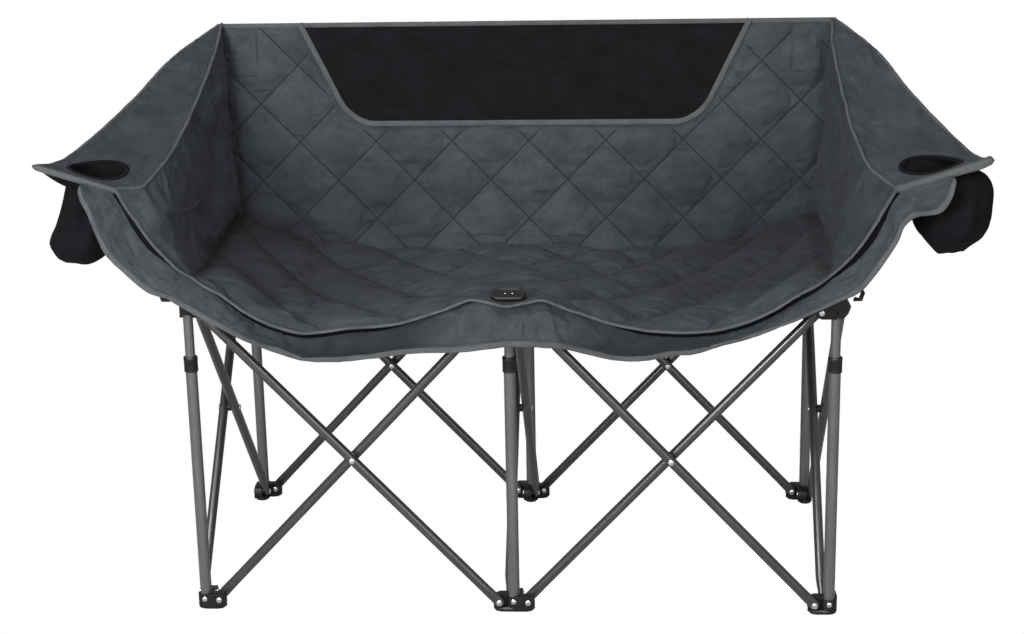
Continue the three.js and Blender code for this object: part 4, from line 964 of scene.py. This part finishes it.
def make_wing(side):
    word = WORDS[side]
    u, v = grid(150, 52)
    p = side_top(side, u) * (1 - v)[..., None] + wing_edge(side, u) * v[..., None]
    n = facing(p, 2, 1)
    x, y = p[..., 0], p[..., 1]
    away = np.hypot(x - side * CUP_X, y - CUP_Y)
    ring = away < CUP_RADIUS + 3
    gone = cell_corners(ring).all(0)
    margin = fade(u, 0.1) * fade(v, 0.15) * smooth((away - CUP_RADIUS) / 30)
    fold = (2.6 * creases(y / 170 + x / 300, x / 110, 61 + side)
            + 0.8 * noise(x / 40, y / 40, 64 + side) - 1.5)
    middle = swollen(offset(p, n, margin * fold), n, (margin < 0.03) | (away < CUP_RADIUS + 9),
                     0.25, 0.02, 8.0)
    m = facing(middle, 2, 1)
    top, under = offset(middle, m, 1.3), offset(middle, m, -1.3)
    # Painted shade: the whole wing's cloth colour is darkened evenly by WING_SHADE.
    wear_and_painted_shade = WING_SHADE[side] + 0 * v
    cloth = shell(word + "_wing_cloth", top, under, [PLAIN_CLOTH, BLACK_CLOTH], ~gone, shade=wear_and_painted_shade)
    pieces = [cloth]
    pieces.append(edge_tape(word + "_wing_edge_binding", p, n, -1, -4, 6.5, 5, BINDING))
    share = np.linspace(0, 1, 70)
    front, out = read_rows(p[:, 0], share), unit(read_rows(n[:, 0], share))
    into = unit(read_rows(p[:, 3], share) - front)
    roll = SHELF_ROLL[side] + SHELF_SWELL[side] * smooth((share - 0.5) / 0.4)
    roll = roll * (1 + 0.05 * noise(share * 14, 0 * share + side, 66))
    curl = SHELF_CURL[side] * smooth((share - 0.86) / 0.14)
    path = front + into * (roll[:, None] - 1.5) - out * 1.5 + np.array([0, 0, 1]) * curl[:, None]
    rounded = np.clip((share - 0.955) / 0.045, 0, 1)
    roll = roll * np.sqrt(1 - 0.9 * rounded ** 2)
    pieces.append(sweep(word + "_shelf_roll", path, into, out, roll, roll,
                        BINDING, squareness=2.3, sides=20))
    line = side_top(side, np.linspace(0.0, 1, 120))
    line = line + noise(np.linspace(0, 20, 120), np.full(120, 3.0 + side), 67)[:, None] * [1.2, 0.5, 1.2]
    tangent = unit(np.gradient(line, axis=0))
    out = unit(np.tile([side * -0.35, -0.25, 0.9], (120, 1)))
    out = unit(out - tangent * np.sum(out * tangent, -1, keepdims=True))
    pieces.append(sweep(word + "_ridge_binding", line + out * 1.0, np.cross(tangent, out), out,
                        2.7, 3.6, BINDING))
    angle = np.linspace(0, 2 * np.pi, 73)[:-1]
    rim_x = side * CUP_X + (CUP_RADIUS + 2) * np.cos(angle)
    rim_y = CUP_Y + (CUP_RADIUS + 2) * np.sin(angle)
    flat = p.reshape(-1, 3)
    near = np.argmin(np.hypot(flat[:, None, 0] - rim_x, flat[:, None, 1] - rim_y), 0)
    slope_u = n.reshape(-1, 3)[near]
    rim_z = flat[near, 2] - ((rim_x - flat[near, 0]) * slope_u[:, 0]
                             + (rim_y - flat[near, 1]) * slope_u[:, 1]) / slope_u[:, 2]
    rim = np.stack([rim_x, rim_y, rim_z], -1)
    radial = np.stack([np.cos(angle), np.sin(angle), 0 * angle], -1)
    pieces.append(sweep(word + "_cup_binding", rim, radial, slope_u, 3.6, 3.4, BLACK_CLOTH, True))
    return pieces, rim


# Cup bags: shares of the depth, shares of the cup hole's radius, swing outwards, and facets.
BAGS = {-1: ([0, 0.1, 0.4, 0.62, 0.8, 0.93, 1], [1, 1, 1.02, 1.12, 1.14, 0.92, 0.6],
             [0, 4, 17, 28, 38, 40, 40], 7),
        1: ([0, 0.09, 0.2, 0.45, 0.66, 0.82, 0.94, 1], [1, 1.1, 1.17, 1.2, 1.23, 1.08, 0.7, 0.5],
            [0, 28, 38, 40, 40, 36, 33, 33], 6)}
BAG_DEPTH = {-1: 149, 1: 136}


def make_bag(side, rim):
    word = WORDS[side]
    corners, levels = 72, 46
    angle = np.linspace(0, 2 * np.pi, corners + 1)[:-1]
    t = np.linspace(0, 1, levels + 1)[:, None]
    floor_z = rim[:, 2].mean() - BAG_DEPTH[side]
    levels_at, radii, shifts, facets = BAGS[side]
    radius = table(levels_at, radii, t)
    shift = table(levels_at, shifts, t)
    gather = 0.05 * smooth(t * 2) * np.sin(angle * 9 + 1.3 * side) * (1 - smooth((t - 0.55) / 0.3))
    lump = 0.12 * smooth(t * 1.6) * noise(angle / 1.1 + 8 * side, t * 3.2 + 0 * angle, 71 + side)
    wedge = (angle + 0.4 * t) % (2 * np.pi / facets) - np.pi / facets
    flat = np.cos(np.pi / facets) / np.cos(wedge)
    flat = 1 + (flat / flat.mean() - 1) * 0.75 * smooth(t * 2.2)
    r = CUP_RADIUS * radius * (1 + gather + lump) * flat + 1.2
    x = side * (CUP_X + shift) + r * np.cos(angle)
    y = CUP_Y + r * np.sin(angle)
    z = (rim[:, 2] - 3.0) * (1 - t) + floor_z * t
    z = z + 5 * smooth((t - 0.6) / 0.4) * noise(angle * 1.3 + 3, 0 * angle + 2.5 * side, 75)
    outer = np.stack([x, y, z], -1)
    centre = np.array([side * (CUP_X + shifts[-1]), CUP_Y, floor_z - 2])
    bottom = []
    for share in np.linspace(0, 1, 9)[1:-1]:
        bottom.append(outer[-1] * (1 - share) + centre * share - np.array([0, 0, 4 * share * (1 - share)]))
    outer = np.concatenate([outer, np.array(bottom)])
    rows = len(outer)
    inner = outer.copy()
    axis = np.stack([side * (CUP_X + shift), CUP_Y + 0 * t], -1)
    pull = unit(outer[:levels + 1, :, :2] - axis) * 1.6
    inner[:levels + 1, :, :2] -= pull
    inner[levels + 1:, :, 2] += 1.8
    count = rows * corners
    index = np.arange(count).reshape(rows, corners)
    nxt = np.roll(index, -1, axis=1)
    faces = np.stack([index[:-1], nxt[:-1], nxt[1:], index[1:]], -1).reshape(-1, 4)
    inside = faces[:, ::-1] + count
    lip = np.stack([nxt[0], index[0], index[0] + count, nxt[0] + count], -1)
    faces = faces.tolist() + inside.tolist() + lip.tolist()
    faces.append(index[-1].tolist())
    faces.append((index[-1] + count)[::-1].tolist())
    lay_x = np.broadcast_to(angle * CUP_RADIUS * MM, (rows, corners))
    lay_y = np.broadcast_to(np.linspace(0, 0.2, rows)[:, None], (rows, corners))
    lay = np.stack([lay_x, lay_y, 0 * lay_x], -1).reshape(-1, 3)
    return make_mesh(word + "_cup_pouch", np.concatenate([outer.reshape(-1, 3), inner.reshape(-1, 3)]),
                     faces, [BLACK_CLOTH], None,
                     {"lay": np.concatenate([lay, lay]), "stitch": np.zeros(2 * count)}, 50)


def thin_cloth(name, p, half_thick):
    """Black cloth of an even thickness around a grid."""
    n = normals(p)
    return shell(name, offset(p, n, half_thick), offset(p, n, -half_thick), [BLACK_CLOTH])


def make_lining(side):
    """Black cloth behind the slit between a side panel and its arm skirt, and below the shelf."""
    word = WORDS[side]
    u, v = grid(80, 12)
    corner = seat_front(np.array(float(side)))
    before = seat_front(side * (1 - 0.1 * np.clip(1 - u / 0.15, 0, 1))) - corner
    edge = side_front(side, 0.99 * np.clip((u - 0.15) / 0.85, 0, 1)) + before
    wide = 20 + 16 * np.sin(np.pi * np.clip(1.3 * u - 0.15, 0, 1))
    p = edge + np.array([0, 11, -2]) * (0.6 + v)[..., None]
    p[..., 0] += side * wide * v
    p[..., 2] -= 10 * v
    slit = thin_cloth(word + "_slit_lining", p, 0.5)
    u, v = grid(60, 12)
    along = 0.36 + 0.62 * u
    edge = wing_place(side, 0 * u, along)
    hang = SHELF_HANG[side] * np.sin(np.pi * np.clip(u, 0, 1)) ** 0.6
    p = edge + np.array([0, 5, -4]) + np.stack([0 * v, 22 * v, -hang * np.sin(v * np.pi * 0.5)], -1)
    return slit, thin_cloth(word + "_shelf_lining", p, 0.6)


def make_seat_shade_sheet(side):
    """Black cloth under the seat's front edge, behind the gap above the skirt, put there as painted shade
    that darkens the gap.
    """
    u, v = grid(90, 8)
    s = side * (0.22 + 0.76 * u)
    p = seat_place(s, 0.054 * (1 - np.abs(s) ** 6)) - np.array([0, 0, 3.0])
    p[..., 2] -= v * (5 + 2.2 * skirt_gap(s))
    return thin_cloth(WORDS[side] + "_seat_shade_sheet", p, 0.5)


def make_skirt(name, top, bottom, across, along, seed, pleats=0.0, painted_shade_depth=0.0):
    """pleats is the depth of the folds that run down from the seat edge's two peaks, and the last
    argument how far painted shade darkens the cloth's colour between the posts."""
    u, v = grid(across, along)
    p = bulged(top(u), bottom(u), v)
    n = facing(p, 1, -1)
    x = p[..., 0]
    margin = fade(v, 0.18) * (0.25 + 0.75 * fade(u, 0.05))
    fold = (5.0 * creases(x / 150 + v * 0.7, v * 1.4, seed) + 2.4 * creases(x / 60, v * 2.2, seed + 1)
            + 1.0 * noise(x / 26, v * 4, seed + 2) - 2.5)
    beside = np.abs(x) - 58 - 26 * v
    fold = fold + pleats * ((1 - 0.5 * v) * np.exp(-(beside / 9) ** 2)
                            - 0.8 * np.exp(-((beside + 22) / 12) ** 2)
                            - 0.6 * np.exp(-((beside - 30) / 16) ** 2))
    distance = np.linalg.norm(top(u) - bottom(u), axis=-1) * (1 - v)
    hem = stitches(distance, 13, 0.6)
    sewn = (v < 0.02) | (distance < 16) | (u < 0.015) | (u > 0.985)
    middle = swollen(offset(p, n, margin * fold), n, sewn, 0.2, 0.03, 9.0)
    m = facing(middle, 1, -1)
    front, rear = offset(middle, m, 1.2), offset(middle, m, -1.2)
    # Painted shade: the cloth's colour is darkened between the posts, more towards the hem.
    wear_and_painted_shade = painted_shade_depth * bay_share(2 * u - 1) * (0.65 + 0.35 * v)
    cloth = shell(name + "_cloth", front, rear, [GREY_CLOTH, BLACK_CLOTH], None, hem, shade=wear_and_painted_shade)
    tape = edge_tape(name + "_binding", middle, m, -1, -4, 9.5, 5.4, BINDING)
    return cloth, tape


# Steel and plastic pieces: lengths of rivets, washers and ears, and heights on the posts.
HEAD_RADIUS, HEAD_HEIGHT = 5.2, 2.8
TAIL_RADIUS, TAIL_HEIGHT = 5.0, 2.2
WASHER_RADIUS = 6.0
SPACER_RADIUS = 6.8
BAR_GAP = 0.35
EAR_WIDTH = 15.15
LOWER_FOOT, LOWER_TOP = 5.4, 438.0
UPPER_FOOT = 142.0
MIDDLE_POST_TOP = 534.0
BACK_POST_TOP = 897.0
FERRULE_TOP = 441.35
STRUT_BEND_Z = 558.0
STRUT_BEND_REACH = 17
STRUT_OUT, STRUT_TOP = 150.0, 720.0


def tube_along(name, centres, radii, material, sides=28):
    """A round tube through centres."""
    centres = np.asarray(centres, float)
    tangent = unit(np.gradient(centres, axis=0))
    helper = np.array([0.0, 1.0, 0.0]) if abs(tangent[0, 1]) < 0.9 else np.array([1.0, 0.0, 0.0])
    across = unit(np.cross(tangent, helper))
    out = np.cross(across, tangent)
    radii = np.broadcast_to(radii, len(centres))
    return sweep(name, centres, across, out, radii, radii, material, squareness=2.0, sides=sides)


def disc(name, centre, axis, radius, height, material, sides=24):
    """A low domed button, such as a rivet head, standing on a face."""
    centre, axis = np.asarray(centre, float), unit(np.asarray(axis, float))
    helper = np.array([0.0, 0.0, 1.0]) if abs(axis[2]) < 0.9 else np.array([1.0, 0.0, 0.0])
    a = unit(np.cross(axis, helper))
    b = np.cross(axis, a)
    profile = [(1.0, 0.0), (1.0, 0.3), (0.93, 0.55), (0.75, 0.8), (0.45, 0.95), (0.15, 1.0)]
    rings = []
    angle = np.arange(sides) / sides * 2 * np.pi
    for share, rise in profile:
        rings.append(centre + radius * share * (np.cos(angle)[:, None] * a + np.sin(angle)[:, None] * b)
                     + axis * height * rise)
    return make_mesh(name, np.array(rings), ring_faces(len(profile), sides), [material], sharp=60)


def join(name, parts):
    """One piece from several meshes."""
    bpy.ops.object.select_all(action="DESELECT")
    for part in parts:
        part.select_set(True)
    bpy.context.view_layer.objects.active = parts[0]
    bpy.ops.object.join()
    parts[0].name = name
    parts[0].data.name = name
    return parts[0]


def fit(piece, body, node):
    """Puts a piece on its body and hides the CAD node it stands for."""
    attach(piece, body)
    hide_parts(node)


def place_bar(name, start, end, away, carries_rivet, body):
    """One scissor bar: a tube with pressed, rounded ends, rivets at its ends and middle."""
    start, end, away = (np.asarray(v, float) for v in (start, end, away))
    along = unit(end - start)
    length = np.linalg.norm(end - start)
    centre_line = start + away * BAR_OFFSET
    reach = BAR_RADIUS
    ends = np.array([-reach, -reach * 0.97, -reach * 0.85, -reach * 0.6, -reach * 0.25, 4, 12, 22, 34])
    stations = np.concatenate([ends, np.linspace(50, length - 50, 12), length - ends[::-1]])
    from_end = np.minimum(stations, length - stations)
    pressed = 1 - smooth((from_end - 4) / 30)
    beyond = np.clip(-from_end / reach, 0, 1)
    tip = np.sqrt(np.clip(1 - beyond ** 2, 0.0, 1)) * 0.97 + 0.03
    wide = BAR_RADIUS * (1 + 0.12 * pressed) * tip
    thick = BAR_RADIUS * (1 - 0.38 * pressed) * (0.35 + 0.65 * tip ** 0.5)
    wide = np.minimum(wide, BAR_RADIUS * 1.06)
    centres = centre_line + along * stations[:, None]
    side = unit(np.cross(along, away))
    count = len(stations)
    tube = sweep(name, centres, np.tile(side, (count, 1)), np.tile(away, (count, 1)), wide, thick, BAR,
                 squareness=2.15, sides=28)
    parts = [tube]
    face = BAR_RADIUS * 0.62
    ear_near = BAR_RADIUS + BAR_GAP
    ear_far = ear_near + EAR_WIDTH
    for at in (0.0, length):
        pin = centre_line + along * at
        parts.append(disc(name + "_head", pin + away * (face - 0.4), away, HEAD_RADIUS, HEAD_HEIGHT,
                          RIVET))
        parts.append(disc(name + "_tail", pin - away * (ear_far + BAR_GAP), -away, TAIL_RADIUS,
                          TAIL_HEIGHT, RIVET))
        washer = [pin - away * (face - 0.6), pin - away * (ear_near - 0.1)]
        parts.append(tube_along(name + "_washer", washer, WASHER_RADIUS, BLACK_PLASTIC, 20))
    middle = centre_line + along * (length / 2)
    if carries_rivet:
        parts.append(disc(name + "_mid_head", middle + away * (BAR_RADIUS - 0.8), away, HEAD_RADIUS,
                          HEAD_HEIGHT, RIVET))
        far = 2 * BAR_OFFSET + BAR_RADIUS
        parts.append(disc(name + "_mid_tail", middle - away * (far + 0.2), -away, TAIL_RADIUS, 2.3,
                          RIVET))
        spacer = [middle - away * (BAR_RADIUS - 1.2),
                  middle - away * (2 * BAR_OFFSET - BAR_RADIUS + 0.6)]
        parts.append(tube_along(name + "_spacer", spacer, SPACER_RADIUS, BLACK_PLASTIC, 20))
    fit(join(name, parts), body, body)


def make_bars():
    for row, y in ROWS.items():
        for bay, low_x in (("left", -BAY), ("right", 0.0)):
            left_x, right_x = low_x + PIVOT_OFFSET, low_x + BAY - PIVOT_OFFSET
            name = row + "_" + bay + "_bay_near_bar"
            place_bar(name + "_steel", (right_x, y, FOOT_PIVOT), (left_x, y, HUB_PIVOT),
                      (0, -1, 0), True, name)
            name = row + "_" + bay + "_bay_far_bar"
            place_bar(name + "_steel", (left_x, y, FOOT_PIVOT), (right_x, y, HUB_PIVOT),
                      (0, 1, 0), False, name)
    for word, side in SIDES.items():
        x = side * BAY
        near_y, far_y = FRONT_Y + PIVOT_OFFSET, REAR_Y - PIVOT_OFFSET
        name = word + "_side_rear_rising_bar"
        place_bar(name + "_steel", (x, near_y, FOOT_PIVOT), (x, far_y, HUB_PIVOT), (-1, 0, 0),
                  True, name)
        name = word + "_side_front_rising_bar"
        place_bar(name + "_steel", (x, far_y, FOOT_PIVOT), (x, near_y, HUB_PIVOT), (1, 0, 0),
                  False, name)


def make_posts():
    strut_bend, strut_top = np.array([0, 0, STRUT_BEND_Z]), np.array([STRUT_OUT, 0, STRUT_TOP])
    for row, y in ROWS.items():
        for word, side in SIDES.items():
            base = np.array([side * BAY, y, 0.0])
            name = row + "_" + word
            lower = tube_along(name + "_lower_steel",
                               [base + [0, 0, LOWER_FOOT], base + [0, 0, LOWER_TOP]],
                               LOWER_RADIUS, UPRIGHT, 32)
            fit(lower, name + "_foot_body", name + "_lower_tube")
            start = [0, 0, UPPER_FOOT]
            if row == "front" and side:
                top = strut_top * [side, 1, 1]
                slant = unit(top - strut_bend)
                a = strut_bend - [0, 0, STRUT_BEND_REACH]
                c = strut_bend + slant * STRUT_BEND_REACH
                t = np.linspace(0, 1, 9)[:, None]
                arc = a * (1 - t) ** 2 + 2 * strut_bend * t * (1 - t) + c * t ** 2
                way = np.concatenate([[start], arc, [top]]) + base
            elif row == "front":
                way = np.array([start, [0, 0, MIDDLE_POST_TOP]]) + base
            else:
                way = np.array([start, [0, 0, BACK_POST_TOP]]) + base
            upper = tube_along(name + "_upper_steel", way, UPPER_RADIUS, UPRIGHT, 32)
            fit(upper, name + "_hub_body", name + "_upper_tube")
            top = FERRULE_TOP
            profile = [(11.45, top - 25), (11.45, top - 24), (11.3, top - 23), (11.3, top - 7),
                       (11.6, top - 6), (11.6, top - 1.2), (10.6, top), (8.4, top), (8.4, top - 3)]
            ferrule = turned(name + "_ferrule_collar", base, profile, BLACK_PLASTIC)
            fit(ferrule, name + "_foot_body", name + "_ferrule")


def turned(name, base, profile, material, sides=40):
    """A turned ring: a profile of radius and height, closed along its inner side."""
    angle = np.arange(sides) / sides * 2 * np.pi
    inner = min(r for r, _ in profile) - 0.3
    lowest = profile[0][1]
    loop = profile + [(inner, profile[-1][1]), (inner, lowest)]
    rings = np.array([[base + [r * math.cos(a), r * math.sin(a), z] for a in angle] for r, z in loop])
    return make_mesh(name, rings, ring_faces(len(loop), sides, True), [material], sharp=40)


make_bars()
make_posts()


def round_edges(built, edges, width, mesh):
    """Rounds edges of a moulding and writes it back to its mesh."""
    bmesh.ops.bevel(built, geom=edges, offset=width * MM, segments=3, profile=0.5, affect="EDGES",
                    clamp_overlap=True)
    built.to_mesh(mesh)
    built.free()


def softened(node_name, piece_name, width):
    """A moulded copy of a CAD fitting with its edges rounded."""
    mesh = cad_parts[node_name].data.copy()
    built = bmesh.new()
    built.from_mesh(mesh)
    bmesh.ops.remove_doubles(built, verts=built.verts, dist=1e-5)
    bmesh.ops.dissolve_limit(built, angle_limit=math.radians(1.5), verts=built.verts,
                             edges=built.edges)
    sharp = [e for e in built.edges if e.is_manifold and e.calc_face_angle(0) > math.radians(36)]
    round_edges(built, sharp, width, mesh)
    mesh.materials.clear()
    mesh.materials.append(BLACK_PLASTIC)
    mesh.polygons.foreach_set("use_smooth", np.ones(len(mesh.polygons), bool))
    mesh.set_sharp_from_angle(angle=math.radians(42))
    piece = bpy.data.objects.new(piece_name, mesh)
    bpy.context.scene.collection.objects.link(piece)
    return piece


GUARD = [(506, 529), (533, 545), (541, 529), (537, 517), (530, 509), (521, 509), (521, 521), (507, 521)]


def corner_guard(side):
    """Flat plastic guard on the outer face of a front hub."""
    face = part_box("front_" + WORDS[side] + "_hub")[0][1] / MM - FRAME_SHIFT
    rings = np.array([[(side * x, y, z) for x, z in GUARD] for y in (face + 1.0, face - 4.5)])
    guard = make_mesh("corner_guard", rings, ring_faces(2, len(GUARD)), [BLACK_PLASTIC], sharp=30)
    built = bmesh.new()
    built.from_mesh(guard.data)
    round_edges(built, list(built.edges), 1.1, guard.data)
    guard.data.set_sharp_from_angle(angle=math.radians(42))
    return guard


def make_fittings():
    for row, y in ROWS.items():
        for word, side in SIDES.items():
            name = row + "_" + word
            foot = softened(name + "_foot", name + "_foot_moulding", 1.6)
            toward = -1 if row == "front" else 1
            rivet = disc(name + "_foot_rivet", (side * BAY, y + toward * 13.2, FOOT_PIVOT + 1.5),
                         (0, toward, 0), 4.6, 2.4, RIVET)
            foot = join(name + "_foot_moulding", [foot, rivet])
            fit(foot, name + "_foot_body", name + "_foot")
            hub = softened(name + "_hub", name + "_hub_moulding", 1.0)
            if name == "front_right":
                hub = join(name + "_hub_moulding", [hub, corner_guard(side)])
            fit(hub, name + "_hub_body", name + "_hub")
    for word in ARMS:
        hook = softened("front_" + word + "_hook", "front_" + word + "_hook_moulding", 0.6)
        fit(hook, "front_" + word + "_hub_body", "front_" + word + "_hook")


def make_cap():
    """Oval cap that clamps the seat's front edge on the middle post, tipped forwards."""
    long_half, wide_half, tilt = 28.0, 13.5, math.radians(24)
    sides = 64
    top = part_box("front_centre_cap")[1][2] / MM
    base = np.array([1.5, FRONT_Y - 4, top - 7.0])
    angle = np.arange(sides) / sides * 2 * np.pi
    straight = (long_half - wide_half) * np.sign(np.cos(angle))
    profile = [(1.0, -3.0), (1.0, 4.6), (0.97, 6.4), (0.88, 7.4), (0.8, 7.6), (0.74, 7.0), (0.66, 6.8),
               (0.3, 6.8), (0.04, 6.8)]
    rings = []
    for share, rise in profile:
        x = straight * min(1, share + 0.1) + wide_half * share * np.cos(angle)
        y = wide_half * share * np.sin(angle)
        rings.append(np.stack([x, y * math.cos(tilt) + rise * -math.sin(tilt),
                               y * math.sin(tilt) + rise * math.cos(tilt)], -1) + base)
    parts = [make_mesh("cap_plate", np.array(rings), ring_faces(len(profile), sides),
                       [BLACK_PLASTIC], sharp=40)]
    up = np.array([0, -math.sin(tilt), math.cos(tilt)])
    for x in (-5.5, 6.0):
        parts.append(disc("cap_rivet", base + up * 6.6 + [x, 0, 0], up, 1.2, 0.8, RIVET, 16))
    parts.append(tube_along("cap_stem", [base - [0, 0, 16], base + [0, 0, 1]], 6.2, BLACK_PLASTIC, 20))
    fit(join("front_centre_cap_moulding", parts), "front_centre_hub_body", "front_centre_cap")


make_fittings()
make_cap()


def dress(piece, body, nodes=()):
    """Puts a cloth piece on its body with a mesh of its own and hides the CAD nodes it stands for."""
    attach(piece, body)
    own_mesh(piece)
    if nodes:
        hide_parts(*nodes)


cloth, binding, panel, rail = make_back()
for piece, slot, nodes in ((cloth, "grey_cloth", ["back_pad"]), (binding, "grey_cloth", ()),
                           (panel, "black_cloth", ["back_black_panel"]), (rail, "grey_cloth", ())):
    dress(piece, "rear_centre_hub_body", nodes)
halves, seat_tape = make_seat()
dress(seat_tape, "seat_front_body")
for half, piece in halves.items():
    dress(piece, "seat_" + half + "_body", ["seat_" + half + "_half"])
for word, side in ARMS.items():
    body = "front_" + word + "_hub_body"
    panel, panel_tape = make_side(side)
    dress(panel, body, [word + "_side_panel"])
    dress(panel_tape, body)
    pieces, rim = make_wing(side)
    wing = pieces[0]
    dress(wing, body, [word + "_arm_wing"])
    for tape in pieces[1:]:
        dress(tape, body)
    for lining_and_shade_sheet, above in zip(make_lining(side), (panel, wing)):
        dress(lining_and_shade_sheet, body)
    # A black sheet under the seat's front edge as painted shade in the gap above the skirt.
    lining_and_shade_sheet = make_seat_shade_sheet(side)
    dress(lining_and_shade_sheet, "front_centre_hub_body")
    pouch = make_bag(side, rim)
    dress(pouch, body, [word + "_cup_bag"])
    cloth, tape = make_skirt(word + "_arm_skirt", lambda u: arm_skirt_top(side, u),
                             lambda u: arm_skirt_bottom(side, u), 60, 26, 80 + side)
    dress(cloth, body, [word + "_arm_skirt"])
    dress(tape, body)
# The front skirt's last argument, 0.85, is its painted shade between the posts.
cloth, tape = make_skirt("front_skirt", lambda u: skirt_top(2 * u - 1), lambda u: skirt_bottom(2 * u - 1),
                         300, 30, 90, 4.5, 0.85)
dress(cloth, "front_centre_hub_body", ["front_skirt"])
dress(tape, "front_centre_hub_body")


# Floor, light and background. Each lamp has a name, a place, a size and a power.
LAMPS = (("key", (-1.6, -4.1, 1.95), 1.8, 176.0), ("fill", (2.2, -4.0, 1.7), 2.0, 46.0),
         ("top", (-0.4, -0.6, 3.4), 1.8, 15.0), ("streak", (-0.6, -2.6, 3.2), 4.5, 420.0))
STREAK_HEIGHT = 0.7
LIT_POINT = (0, 0, 0.5)
MIRRORED_LIGHT = 0.42
ROOM_LIGHT = 0.2


def make_stage():
    material, tree, shader = node_material("pale_floor")
    shader.inputs["Base Color"].default_value = (0.8, 0.8, 0.8, 1)
    shader.inputs["Roughness"].default_value = 0.9
    shader.inputs["Specular IOR Level"].default_value = 0.0
    glow = tree.nodes.new("ShaderNodeEmission")
    blend = tree.nodes.new("ShaderNodeMixShader")
    seen = tree.nodes.new("ShaderNodeLightPath")
    tree.links.new(seen.outputs["Is Camera Ray"], blend.inputs[0])
    tree.links.new(shader.outputs[0], blend.inputs[1])
    tree.links.new(glow.outputs[0], blend.inputs[2])
    tree.links.new(blend.outputs[0], tree.nodes["Material Output"].inputs["Surface"])
    bpy.ops.mesh.primitive_plane_add(size=80, location=(0, 0, -0.0005))
    floor = bpy.context.object
    floor.name = "floor"
    floor.data.materials.append(material)
    world = bpy.data.worlds.new("studio")
    bpy.context.scene.world = world
    world.use_nodes = True
    tree = world.node_tree
    background = tree.nodes["Background"]
    background.inputs["Color"].default_value = (1, 1, 1, 1)
    path = tree.nodes.new("ShaderNodeLightPath")
    mirrored = math_node(tree, "MULTIPLY", path.outputs["Is Glossy Ray"], MIRRORED_LIGHT)
    seen = math_node(tree, "MAXIMUM", path.outputs["Is Camera Ray"], mirrored)
    tree.links.new(math_node(tree, "MAXIMUM", seen, ROOM_LIGHT), background.inputs["Strength"])
    for name, place, size, power in LAMPS:
        data = bpy.data.lights.new(name, "AREA")
        data.size = size
        data.energy = power
        lamp = bpy.data.objects.new(name, data)
        lamp.location = place
        lamp.rotation_mode = "QUATERNION"
        toward = Vector(LIT_POINT) - Vector(place)
        lamp.rotation_quaternion = toward.to_track_quat("-Z", "Y")
        bpy.context.scene.collection.objects.link(lamp)
        if name == "streak":
            data.shape = "RECTANGLE"
            data.size_y = STREAK_HEIGHT
            lamp.visible_diffuse = False


make_stage()
bpy.context.scene.view_settings.view_transform = "Standard"
